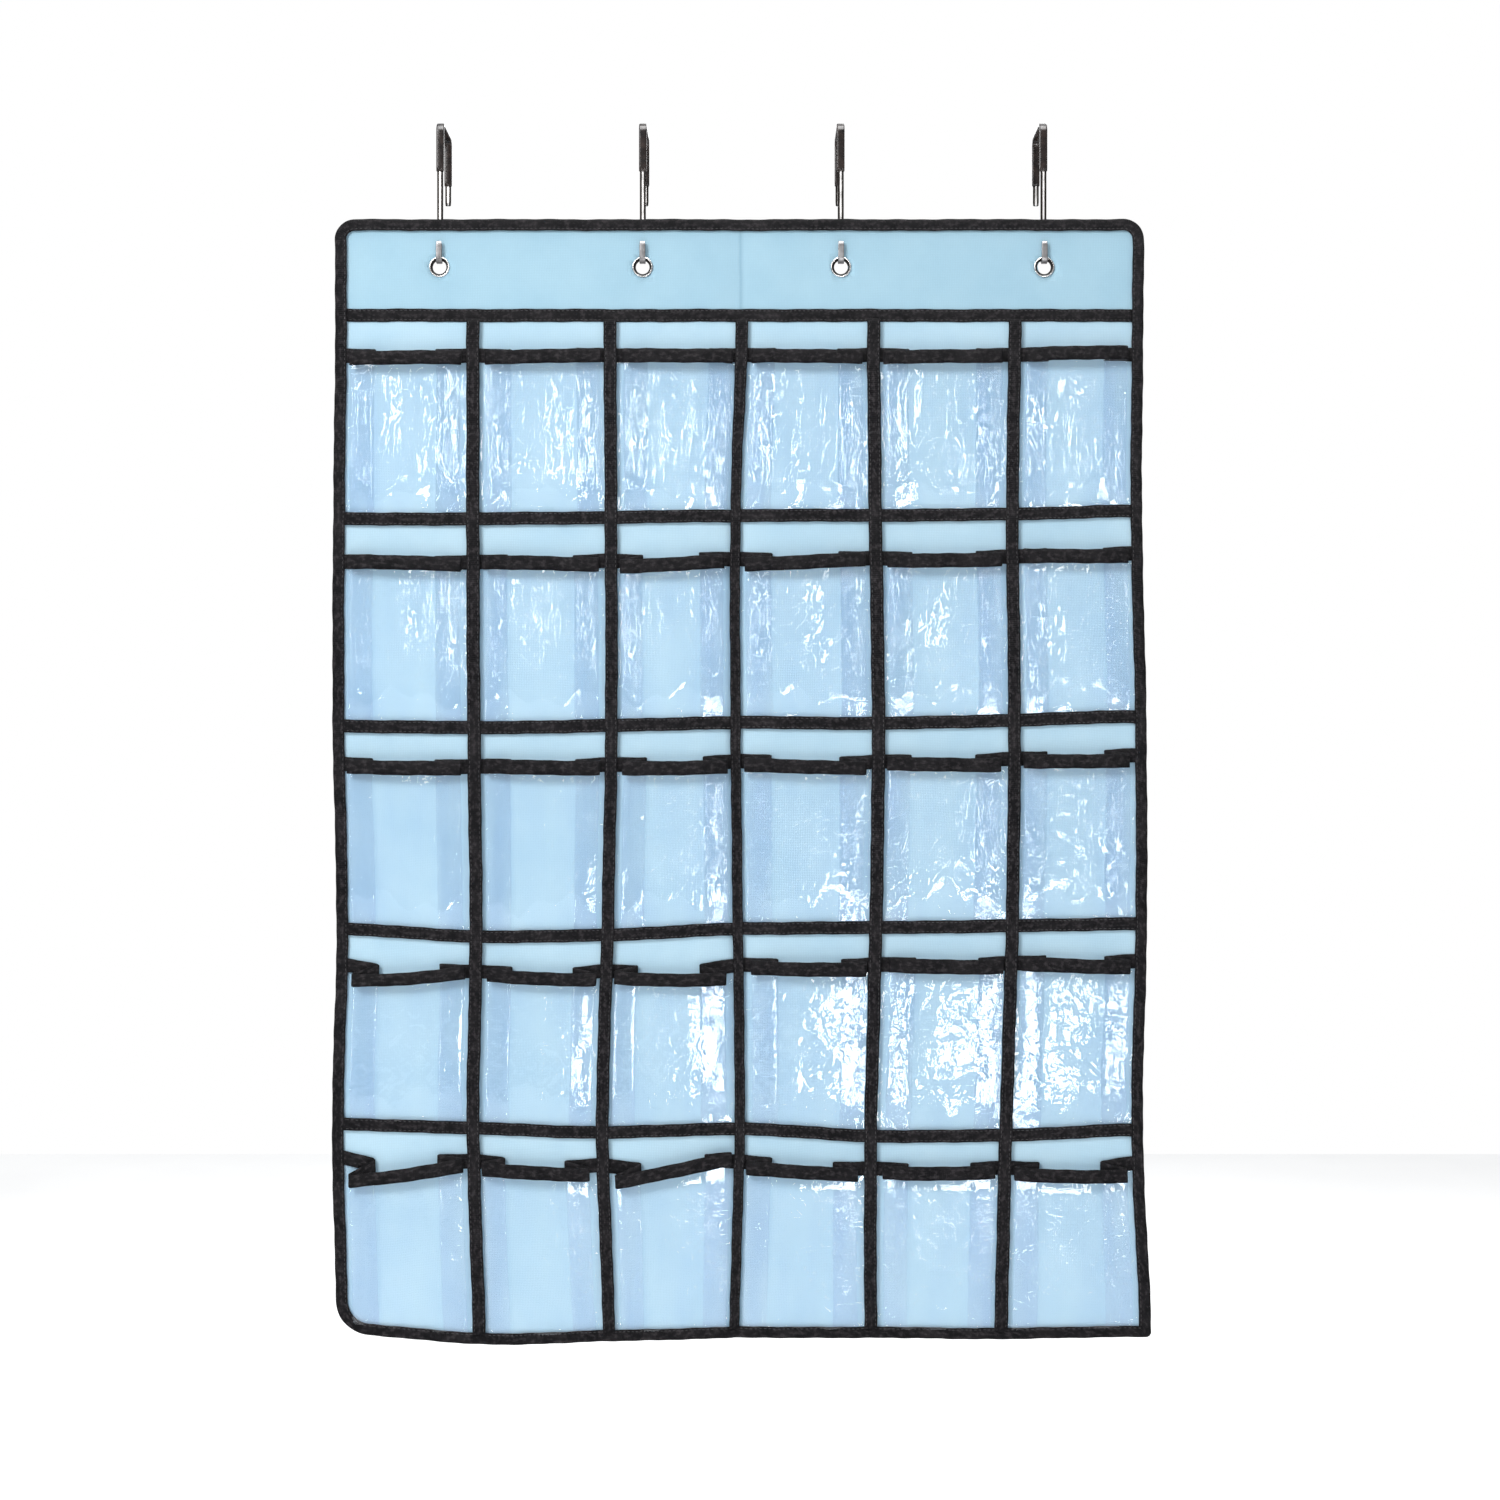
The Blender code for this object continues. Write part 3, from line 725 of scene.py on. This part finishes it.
def binding_section():
    """Round the folded binding: (inset, y) from the front leg's end, over the edge, and back inside it."""
    turn = (BINDING_BACK - BINDING_FRONT) / 2
    mid = (BINDING_BACK + BINDING_FRONT) / 2
    seam, half = BINDING_WIDTH - STITCH_INSET, BINDING_WIDTH / 2
    front = [(BINDING_WIDTH, 0.35), (BINDING_WIDTH - 0.3 * MM, 0.05), (seam + 0.6 * MM, 0.0), (seam, 0.12),
             (seam - 0.6 * MM, 0.0), (half, -0.08)]
    outer = [(inset, BINDING_FRONT + deep * MM) for inset, deep in front]
    for angle in np.linspace(0, math.pi, 7):
        outer.append((turn - turn * math.sin(angle), mid - turn * math.cos(angle)))
    back = [(half, 0.05), (seam, 0.0), (BINDING_WIDTH, -0.2)]
    outer += [(inset, BINDING_BACK + deep * MM) for inset, deep in back]
    inner_front, inner_back = BINDING_FRONT + BINDING_THICKNESS, BINDING_BACK - BINDING_THICKNESS
    return outer + [(BINDING_WIDTH, inner_back), (turn + MM, inner_back), (turn + MM, inner_front),
                    (BINDING_WIDTH, inner_front)]


def make_edge_binding():
    """The tape folded over the panel's edge all the way round, with its seam showing front and back."""
    section = binding_section()
    loops = [np.insert(panel_outline(inset), 1, y, axis=1) for inset, y in section]
    points = np.stack(loops, 1)
    along = lengths(closed(panel_outline(BINDING_WIDTH / 2)))
    over = lengths(closed(section))
    piece = add_grid("edge_binding", hung(points), along, over, TAPE, True, True)
    crosses_crease(face_outwards(piece), *both("edge_binding"))
    seam = closed(panel_outline(BINDING_WIDTH - STITCH_INSET))
    front = stitch_line(np.insert(seam, 1, BINDING_FRONT, axis=1), (0, -1, 0))
    back = stitch_line(np.insert(seam, 1, BINDING_BACK, axis=1), (0, 1, 0))
    return [piece, crosses_crease(add_stitches("edge_binding_stitches", [front, back]))]


def cloth_lines(low, high, fine=()):
    """Evenly spaced places from low to high, and the fine ones in place of those that come close to them."""
    count = int(round((high - low) / CLOTH_STEP)) + 1
    even = np.linspace(low, high, count)
    kept = [place for place in even if all(abs(place - other) > MM for other in fine)]
    return np.array(sorted({*kept, *fine}))


def round_corners(points, inset):
    """Moves a rectangle's corner regions in onto the rounded outline, and leaves the rest where it is."""
    x, z = points[:, 0], points[:, 2]
    corners = ((-1, 1), (1, 1), (-1, -1), (1, -1))
    for (side, up), radius in zip(corners, CORNER_RADII):
        x0 = side * (HALF_WIDTH - inset - radius)
        z0 = (PANEL_HIGH.z - inset - radius) if up > 0 else (PANEL_LOW.z + inset + radius)
        a, b = (x - x0) * side / radius, (z - z0) * up / radius
        inside = (a > 0) & (b > 0)
        points[inside, 0] = x0 + side * radius * (a * np.sqrt(np.maximum(1 - b * b / 2, 0)))[inside]
        points[inside, 2] = z0 + up * radius * (b * np.sqrt(np.maximum(1 - a * a / 2, 0)))[inside]
    return points


def make_cloth():
    """The backing: one sheet with two faces, its corners rounded and a hole punched for each eyelet."""
    fine = [side * place * MM for side in (-1, 1) for place in (0.0, 0.8, 1.8, 3.0, 4.5, 6.5, 8.5)]
    xs = cloth_lines(CLOTH_INSET - HALF_WIDTH, HALF_WIDTH - CLOTH_INSET, fine)
    zs = cloth_lines(PANEL_LOW.z + CLOTH_INSET, PANEL_HIGH.z - CLOTH_INSET)[::-1]
    grid_z, grid_x = np.meshgrid(zs, xs, indexing="ij")
    middle = (CLOTH_FRONT + CLOTH_BACK) / 2
    flat = np.stack([grid_x, np.full_like(grid_x, middle), grid_z], -1).reshape(-1, 3)
    flat = round_corners(flat, CLOTH_INSET)
    faces = grid_faces(len(zs), len(xs))
    piece = add_mesh("organizer_cloth", flat, faces, flat[faces][:, :, [0, 2]], CLOTH)
    mesh = bmesh.new()
    mesh.from_mesh(piece.data)
    for number in HOOKS:
        punch_hole(mesh, centre(f"eyelet_{number}"))
    for vertex, place in zip(mesh.verts, hung([v.co for v in mesh.verts])):
        vertex.co = place
    mesh.to_mesh(piece.data)
    mesh.free()
    thick = piece.modifiers.new("Thickness", "SOLIDIFY")
    thick.thickness = CLOTH_BACK - CLOTH_FRONT
    thick.offset = 0
    thick.use_even_offset = True
    return crosses_crease(bake(piece), *both("backing"))


def punch_hole(mesh, middle, radius=6.0 * MM):
    """Opens a hole in the cloth for an eyelet and draws its edge in to a circle under the flange."""
    def away(point):
        return math.hypot(point.x - middle.x, point.z - middle.z)

    gone = [face for face in mesh.faces if away(face.calc_center_median()) < radius + MM]
    bmesh.ops.delete(mesh, geom=gone, context="FACES")
    for vertex in mesh.verts:
        if vertex.is_boundary and away(vertex.co) < 3 * radius:
            scale = radius / away(vertex.co)
            vertex.co.x = middle.x + (vertex.co.x - middle.x) * scale
            vertex.co.z = middle.z + (vertex.co.z - middle.z) * scale


def bake(piece):
    """Replaces a piece's mesh by what its modifiers make of it."""
    bpy.context.view_layer.update()
    shown = piece.evaluated_get(bpy.context.evaluated_depsgraph_get())
    mesh = bpy.data.meshes.new_from_object(shown)
    piece.modifiers.clear()
    piece.data = mesh
    return piece


# ---------------- pockets

SEAM_OUT = 0.9 * MM  # film's distance from the cloth where it is sewn down
FRONT_OUT = 9.0 * MM  # and at the middle of a pocket's front, beyond that
FOLD_RADIUS = 1.1 * MM
INNER_FOLD = 21 * MM  # from the tape's edge to the fold that points into the pocket
OUTER_FOLD = 3.6 * MM  # from the tape's edge to the fold that stands beside the tape
BACK_LAYER, MIDDLE_LAYER, FRONT_LAYER = 1.5 * MM, 3.9 * MM, 6.5 * MM
FRONT_STEPS = 42
LEAN_REACH = 18 * MM  # below the mouth, where its tipping back ends
SLOPE, CLOSING = 0.22, 0.68  # how much of its depth a pocket loses on the way down, and where it closes
FILM_STEP = 2 * MM  # between the film's points on the way down
NEAR_SEAM = 8 * MM  # the film's last part above its seam, which has five rows of points
# Half the mouth binding's thickness at five places from the mouth down
MOUTH_HALVES = [0.75 * MM * share for share in (0.95, 0.9, 0.85, 0.88, 0.7)]


def side_pleat(seam, tape_edge, direction, inner, outer):
    """One pleat, from the seam to the pocket's front: rows of (x, how far out, share of the slip)."""
    fold = tape_edge + direction * inner
    turn = fold - direction * FOLD_RADIUS
    edge = tape_edge + direction * (outer + FOLD_RADIUS)

    def round_fold(x, way, low, high, slip, more_slip):
        """The film turns back over itself at x, from one layer to the next."""
        for share in np.linspace(0, 1, 7):
            angle = math.pi * share
            out = (low + high) / 2 - (high - low) / 2 * math.cos(angle)
            yield x + way * FOLD_RADIUS * math.sin(angle), out, slip + more_slip * share

    back = direction * (abs(fold - seam) - FOLD_RADIUS)
    rows = [(seam + back * share, BACK_LAYER * share, 0.3 * share) for share in np.linspace(0, 1, 7)[:-1]]
    rows += round_fold(turn, direction, BACK_LAYER, MIDDLE_LAYER, 0.3, 0.1)
    for share in np.linspace(0, 1, 6)[1:-1]:
        rows.append((turn + (edge - turn) * share, MIDDLE_LAYER, 0.4 + 0.5 * share))
    rows += round_fold(edge, -direction, MIDDLE_LAYER, FRONT_LAYER, 0.9, 0.1)
    return rows


def pocket_ends(column):
    """(left seam, left tape's edge, right tape's edge, right seam) of a pocket's column."""
    edge = HALF_WIDTH - BINDING_WIDTH + SEAM_ALLOWANCE
    seams = [-edge, *COLUMNS_X, edge]
    hidden = [SEAM_ALLOWANCE, *[TAPE_WIDTH / 2] * len(COLUMNS_X), SEAM_ALLOWANCE]
    left, right = seams[column:column + 2]
    return left, left + hidden[column], right - hidden[column + 1], right


def film_line(row):
    """Across a row of pockets, from the left: rows of x, how far out, slip, which pocket, how wrinkled."""
    rows = []
    for column in range(COLUMNS):
        left_seam, left_edge, right_edge, right_seam = pocket_ends(column)
        at_left, in_middle, at_right = (MM * slip for slip in SLIPS[row][column])
        vary = noise.noise(Vector((row * 3.7, column * 5.1, 0.5)))
        inner, outer = 6 * MM * vary, 4 * MM * vary
        left = side_pleat(left_seam, left_edge, 1, INNER_FOLD + inner, OUTER_FOLD + outer)
        inner = 5 * MM * vary
        right = side_pleat(right_seam, right_edge, -1, INNER_FOLD - inner, OUTER_FOLD - outer)
        rows += [(x, out, slip * at_left, column, 1.0) for x, out, slip in left]
        start, end = left[-1][0], right[-1][0]
        for share in np.linspace(0, 1, FRONT_STEPS + 2)[1:-1]:
            bow = math.sin(math.pi * share)
            out = FRONT_LAYER + (FRONT_OUT - FRONT_LAYER) * bow ** 0.85
            slip = (1 - share) * (1 - 2 * share) * at_left + share * (2 * share - 1) * at_right
            slip += 4 * share * (1 - share) * in_middle
            rows.append((start + (end - start) * share, out, slip, column, 1 - 0.75 * bow ** 2))
        back = [(x, out, slip * at_right, column, 1.0) for x, out, slip in reversed(right)]
        rows += back if column == COLUMNS - 1 else back[:-1]
    return np.array(rows)


def pocket_height(row):
    bottom = ROW_TAPES_Z[row] if row < ROWS - 1 else PANEL_LOW.z + BINDING_WIDTH - SEAM_ALLOWANCE
    return MOUTHS_Z[row] - bottom


def crumple(x, z, row, column, wrinkled):
    """Wrinkles of the film, in metres out of its plane: upright ones, and sharp ones low on the right."""
    fourth_row = smooth((x + 0.01) / 0.09) * math.exp(-((row - 3.0) / 0.6) ** 2)
    third_row = smooth((x - 0.19) / 0.03) * math.exp(-((row - 2.0) / 0.5) ** 2)
    rough = max(fourth_row, third_row)
    drift = noise.noise(Vector((x * 30 + 3 * row, z * 30, 2.1 * column)))
    upright = noise.noise(Vector((x * 105 + 7 * column + drift, z * 12, row * 4.3)))
    broad = noise.noise(Vector((x * 34 + drift, z * 27 + 5 * column, row * 2.9 + 9)))
    ridges = noise.noise(Vector((x * 85 + 2.6 * drift, z * 100 + 2.6 * broad, row * 6.1 + 4)))
    sharp = 0.4 - abs(ridges)
    return MM * (0.6 * upright * wrinkled + 0.7 * broad * (0.3 + rough) + 0.75 * sharp * rough)


def film_surface(row, line, fall):
    """The film of one row: a grid of points, rows down from the mouth and columns across.

    line comes from film_line, and fall is the distance below the mouth's edge of each row of points.
    """
    along = line[:, 0]
    share = (fall / pocket_height(row))[:, None]
    closing = 0.80 + 0.05 * np.sin(along / 0.011 + 2 * row) + 0.04 * np.sin(along / 0.0043 + row)
    closed = smooth((share - closing) / (1 - closing))
    leaning = LEANS[row] * (1 - smooth(fall / LEAN_REACH))[:, None]
    gather = 1 - SLOPE * share - CLOSING * closed - leaning
    x = np.broadcast_to(along, gather.shape)
    out = SEAM_OUT + gather * line[None, :, 1]
    z = MOUTHS_Z[row] - fall[:, None] - (1 - share) * line[None, :, 2]
    return np.stack([x, CLOTH_FRONT - out, z], -1)


def surface_normals(points):
    """Unit normals of a grid of points, facing the front on a flat part."""
    down = np.gradient(points, axis=0)
    across = np.gradient(points, axis=1)
    normals = np.cross(across, down)
    return normals / np.maximum(np.linalg.norm(normals, axis=-1, keepdims=True), 1e-12)


def make_pockets(row):
    """One row's film and the binding over its mouth."""
    line = film_line(row)
    height = pocket_height(row)
    last_part = np.linspace(height - NEAR_SEAM, height, 5)
    before_it = np.arange(FILM_STEP, height - NEAR_SEAM - FILM_STEP / 2, FILM_STEP)
    fall = np.concatenate([before_it, last_part])
    flat = film_surface(row, line, fall)
    # the wrinkles fade out towards the seam, the mouth and the cloth
    free = smooth((height - fall) / (12 * MM)) * smooth((fall - 6 * MM) / (10 * MM))
    free = free[:, None] * smooth(line[:, 1] / (2 * MM))
    wrinkles = np.array([
        [crumple(x, z, row, column, wrinkled) for (x, y, z), (column, wrinkled) in zip(points, line[:, 3:])]
        for points in flat
    ])
    points = hung(flat + surface_normals(flat) * (wrinkles * free)[..., None])
    over = lengths(flat[0])
    film = add_grid(f"pocket_film_{row + 1}", points, fall, over, FILMS[row])
    crosses_crease(film, *both(f"pocket_film_{row + 1}"))
    mouth = make_mouth_binding(row, line)


def make_mouth_binding(row, line):
    """The tape folded over the film's upper edge, which follows every pleat, with its line of stitches."""
    core = film_surface(row, line, np.linspace(0, MOUTH_BINDING, len(MOUTH_HALVES)))
    normals = surface_normals(core)
    half = np.array(MOUTH_HALVES)[:, None, None]
    front, back = core + normals * half, core - normals * half
    up = core[0] - core[1]
    up /= np.linalg.norm(up, axis=1, keepdims=True)
    top = core[:1] + up[None] * 0.5 * MM
    section = np.concatenate([front[::-1], top, back]).transpose(1, 0, 2)
    over = lengths(closed(section[len(section) // 2]))
    along = lengths(core[2])
    name = f"mouth_binding_{row + 1}"
    tape = add_grid(name, hung(section), along, over, TAPE, wrap_columns=True)
    close_ends(tape, section.shape[1], len(line))
    crosses_crease(tape, *both(name))
    seam = stitch_line((front[3] + front[4]) / 2, normals[3], MM / 2)
    return [tape, crosses_crease(add_stitches(f"mouth_stitches_{row + 1}", [seam]))]


# ---------------- eyelets and hooks

RING_STEPS = 72
THROAT = 1.9 * MM  # the flange's front rounds into the bore
FLANGE_WIDTH, EYELET_WALL = 2.5 * MM, 0.45 * MM


def turned(name, profile, middle, material):
    """A closed profile of (radius, y) spun about the Y axis through middle."""
    angle = np.linspace(0, 2 * math.pi, RING_STEPS, endpoint=False)
    profile = np.array(profile)
    points = np.stack([
        middle.x + np.cos(angle)[:, None] * profile[None, :, 0],
        np.broadcast_to(profile[None, :, 1], (RING_STEPS, len(profile))),
        middle.z + np.sin(angle)[:, None] * profile[None, :, 0],
    ], -1)
    along = np.linspace(0, 2 * math.pi * profile[:, 0].max(), RING_STEPS + 1)
    over = lengths(closed(profile))
    return face_outwards(add_grid(name, points, along, over, material, True, True))


def arc(middle, radius, start, end, steps):
    """Points on an arc, angles in degrees, as (a, b) pairs."""
    angles = np.radians(np.linspace(start, end, steps))
    return [(middle[0] + radius * math.cos(a), middle[1] + radius * math.sin(a)) for a in angles]


def make_eyelet(number):
    """The eyelet: a rounded flange, a smooth bore painted dark as shade, and its rim rolled over a thin
    washer behind the cloth.
    """
    low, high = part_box(f"eyelet_{number}")
    washer_low, washer_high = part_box(f"eyelet_washer_{number}")
    middle = (low + high) / 2
    flange = (high.x - low.x) / 2
    bore = flange - FLANGE_WIDTH
    front, back = low.y, high.y
    barrel = bore + EYELET_WALL
    under_flange = CLOTH_FRONT - 0.1 * MM
    bead = 0.55 * MM
    crown = arc((flange - bead, front + bead), bead, 0, -90, 6)
    throat = arc((bore + THROAT, front + THROAT), THROAT, -90, -180, 10)
    rim = arc((bore + 0.8 * MM, back - EYELET_WALL), EYELET_WALL, 180, 0, 9)
    profile = crown + throat + [(bore, back - 0.9 * MM)] + [(max(radius, bore), y) for radius, y in rim]
    profile += [(barrel + 0.5 * MM, back - 0.7 * MM), (barrel, back - 0.8 * MM), (barrel, under_flange),
                (flange - 0.4 * MM, under_flange), (flange, CLOTH_FRONT - 0.25 * MM)]
    ring = turned(f"eyelet_ring_{number}", profile, middle, EYELET_STEEL)
    # The throat and bore take the painted shade.
    ring.data.materials.append(BORE_PAINTED_SHADE)
    for face in ring.data.polygons:
        if math.hypot(face.center.x - middle.x, face.center.z - middle.z) < bore + 0.9 * THROAT:
            face.material_index = 1
    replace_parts(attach(ring, half_at(middle.x)), f"eyelet_{number}")
    hole = barrel + 0.1 * MM
    disc = [(hole, washer_low.y), (hole, washer_high.y)]
    disc += arc((flange - 0.4 * MM, washer_high.y - 0.2 * MM), 0.2 * MM, 90, 0, 4)
    disc += [(flange - 0.1 * MM, washer_low.y)]
    plate = turned(f"washer_ring_{number}", disc, middle, EYELET_STEEL)
    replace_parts(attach(plate, half_at(middle.x)), f"eyelet_washer_{number}")


SLEEVE_WALL, SLEEVE_EASE = 0.65 * MM, 0.9 * MM
HOOK_BEND, J_BEND = 6 * MM, 3.5 * MM
J_LIFT = 3 * MM  # the strip crosses the eyelet that far above its middle
BEHIND_DOOR = 20 * MM  # what lies further back than this is the hook's back leg


def rounded_path(corners, radii, steps=10):
    """Corner points joined by straight lines, with an arc of that radius at each inner corner."""
    path = [Vector(corners[0])]
    for before, corner, after, radius in zip(corners, corners[1:], corners[2:], radii):
        before, corner, after = Vector(before), Vector(corner), Vector(after)
        to_before, to_after = (before - corner).normalized(), (after - corner).normalized()
        half = to_before.angle(to_after) / 2
        middle = corner + (to_before + to_after).normalized() * radius / math.sin(half)
        first, last = (corner + way * radius / math.tan(half) for way in (to_before, to_after))
        turn = (first - middle).angle_signed(last - middle)
        for step in range(steps + 1):
            spoke = (first - middle).copy()
            spoke.rotate(Matrix.Rotation(-turn * step / steps, 2))
            path.append(middle + spoke)
    path.append(Vector(corners[-1]))
    return refined([(p.x, p.y) for p in path])


def refined(path, step=3 * MM):
    """The same line with points no further apart than step."""
    made = [path[0]]
    for start, end in zip(path, path[1:]):
        count = max(1, math.ceil(math.dist(start, end) / step))
        for i in range(1, count + 1):
            made.append(tuple(a + (b - a) * (i / count) for a, b in zip(start, end)))
    return np.array([p for i, p in enumerate(made) if i == 0 or math.dist(p, made[i - 1]) > 1e-7])


def strip_section(width, thickness, ease, steps=5):
    """Round a flat bar with eased edges: (sideways, outward) all the way round."""
    made = []
    for side, out, start in ((1, 1, 0), (-1, 1, 90), (-1, -1, 180), (1, -1, 270)):
        middle = (side * (width / 2 - ease), out * (thickness / 2 - ease))
        made += arc(middle, ease, start, start + 90, steps)
    return np.array(made)


def swept(name, path, section, x, material, ends):
    """A bar of that section along a (y, z) path at x. Its ends are eased in by the given shares."""
    ahead = np.gradient(path, axis=0)
    ahead /= np.linalg.norm(ahead, axis=1, keepdims=True)
    aside = np.stack([-ahead[:, 1], ahead[:, 0]], 1)
    rows = []
    tips = {0: ends[0], 1: ends[1], len(path) - 2: ends[1], len(path) - 1: ends[0]}
    for i, (place, way) in enumerate(zip(path, aside)):
        size = tips.get(i, 1.0)
        y, z = (place[k] + size * section[:, 1] * way[k] for k in (0, 1))
        rows.append(np.stack([x + size * section[:, 0], y, z], 1))
    over = lengths(closed(section))
    made = add_grid(name, np.stack(rows), lengths(path), over, material, wrap_columns=True)
    return close_ends(made, len(section), len(path))


def with_blunt_ends(path, cut=0.35 * MM):
    """The path with a point a little inside each end, where the bar's end starts to round off."""
    first, last = (end + (inner - end) / np.linalg.norm(inner - end) * cut
                   for end, inner in ((path[0], path[1]), (path[-1], path[-2])))
    return np.concatenate([path[:1], first[None], path[1:-1], last[None], path[-1:]])


def make_hook(number):
    """One door hook: the bent strip, and the sleeve over the bend that grips the door."""
    low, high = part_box(f"door_hook_{number}")
    sleeve_low, sleeve_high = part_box(f"hook_sleeve_{number}")
    corners = [vertex.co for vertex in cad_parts[f"door_hook_{number}"].data.vertices]
    tip_z = max(at.z for at in corners if at.y < CLOTH_FRONT)
    low_end_z = min(at.z for at in corners if at.y > BEHIND_DOOR)
    x = (low.x + high.x) / 2
    tip_y, back_y = low.y + STRIP / 2, high.y - STRIP / 2
    shank_y = CLOTH_FRONT + CLOTH_BACK - tip_y
    bridge = high.z - STRIP / 2
    crossing = centre(f"eyelet_{number}").z + J_LIFT
    bent = [(tip_y, tip_z), (tip_y, crossing), (shank_y, crossing), (shank_y, bridge), (back_y, bridge),
            (back_y, low_end_z)]
    path = with_blunt_ends(rounded_path(bent, [J_BEND, J_BEND, HOOK_BEND, HOOK_BEND]))
    section = strip_section(STRIP_WIDTH, STRIP, STRIP_EASE)
    strip = swept(f"hook_strip_{number}", path, section, x, HOOK_STEEL, (0.6, 0.9))
    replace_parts(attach(strip, f"hook_{number}"), f"door_hook_{number}")
    over_door = [(shank_y, sleeve_low.z), (shank_y, bridge), (back_y, bridge), (back_y, sleeve_low.z)]
    path = with_blunt_ends(rounded_path(over_door, [HOOK_BEND, HOOK_BEND]))
    section = strip_section(sleeve_high.x - sleeve_low.x, STRIP + 2 * SLEEVE_WALL, SLEEVE_EASE)
    tube = swept(f"hook_tube_{number}", path, section, x, VINYL, (0.88, 0.98))
    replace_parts(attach(tube, f"hook_{number}"), f"hook_sleeve_{number}")


# ---------------- studio

CAMERA_DISTANCE = 1.60  # from the panel
FRAME_WIDTH = 1.10  # width of the picture at the panel
CAMERA_X, CAMERA_Z = 0.006, -0.458
SENSOR = 36.0
REFLECTED_Y = -1.62  # the lights that are seen only in reflections stand just behind the camera
# Each of those lights: x, z, width, height and radiance. The fourth row mirrors the last three, a window.
PANES = (
    (-0.56, 0.04, 0.036, 0.16, 24),
    (-0.44, -0.26, 0.030, 0.15, 24),
    (-0.23, -0.01, 0.055, 0.16, 24),
    (-0.25, -0.28, 0.028, 0.14, 24),
    (0.03, 0.00, 0.045, 0.15, 24),
    (0.19, -0.27, 0.045, 0.15, 24),
    (0.37, -0.04, 0.040, 0.15, 24),
    (0.58, -0.10, 0.022, 0.28, 24),
    (0.38, -0.98, 0.46, 0.20, 28),
    (0.40, -0.79, 0.42, 0.11, 22),
    (0.55, -0.56, 0.04, 0.22, 22),
)


def aimed(obj, target):
    obj.rotation_mode = "QUATERNION"
    obj.rotation_quaternion = (Vector(target) - obj.location).to_track_quat("-Z", "Y")
    return obj


def make_camera():
    data = bpy.data.cameras.new("Camera")
    data.sensor_width = SENSOR
    data.lens = SENSOR * CAMERA_DISTANCE / FRAME_WIDTH
    camera = add_object("Camera", data, (CAMERA_X, -CAMERA_DISTANCE, CAMERA_Z))
    bpy.context.scene.camera = aimed(camera, (CAMERA_X, 0, CAMERA_Z))


def soft_light(name, place, target, size, watts):
    data = bpy.data.lights.new(name, "AREA")
    data.shape = "RECTANGLE"
    data.size, data.size_y = size
    data.energy = watts
    light = add_object(name, data, place)
    light.visible_camera = False
    return aimed(light, target)


def reflected_light(name, place, target, size, radiance):
    """A bright window or lamp that the film and the metal mirror. It lights nothing else."""
    light = soft_light(name, place, target, size, radiance * math.pi * size[0] * size[1])
    light.visible_diffuse = False


def make_world():
    """A white studio, dimmer where it lights the object than where the camera sees it."""
    g = Graph("studio", bpy.data.worlds)
    light = g.shader("Background", {"Color": (0.96, 0.98, 1.0, 1), "Strength": 0.40})
    seen = g.shader("Background", {"Color": (1, 1, 1, 1), "Strength": 1.0})
    by_camera = g.node("LightPath").outputs["Is Camera Ray"]
    g.node("OutputWorld", {"Surface": g.mix_shaders(by_camera, light, seen)})
    bpy.context.scene.world = g.item


def make_floor():
    """A plain pale floor, below where the panel hangs."""
    half, drop = 3.0, 0.42
    corners = [(x * half, y * half, PANEL_LOW.z - drop) for x, y in ((-1, -1), (1, -1), (1, 1), (-1, 1))]
    mesh = bpy.data.meshes.new("floor")
    mesh.from_pydata(corners, [], [(0, 1, 2, 3)])
    mesh.materials.append(floor_material())
    add_object("floor", mesh)


def make_studio():
    make_world()
    make_floor()
    panel = (0, 0, (PANEL_HIGH.z + PANEL_LOW.z) / 2)
    soft_light("key", (-1.3, -1.9, 0.9), panel, (0.9, 0.9), 43)
    for number, (x, z, width, height, radiance) in enumerate(PANES, 1):
        reflected_light(f"pane_{number}", (x, REFLECTED_Y, z), (x, 0, z), (width, height), radiance)
    reflected_light("lamp_above", (0, -0.9, 1.5), (0, 0, 0), (1.6, 1.4), 14)
    soft_light("top", (0.2, 0.1, 1.7), panel, (1.6, 1.6), 22)
    soft_light("rear", (0.4, 2.2, 0.6), panel, (1.4, 1.4), 22)
    bpy.context.scene.view_settings.view_transform = "Standard"


make_camera()
make_studio()
cloth = make_cloth()
sewn = make_row_tapes() + make_column_tapes() + make_edge_binding()
for row in range(ROWS):
    make_pockets(row)
for number in HOOKS:
    make_eyelet(number)
    make_hook(number)
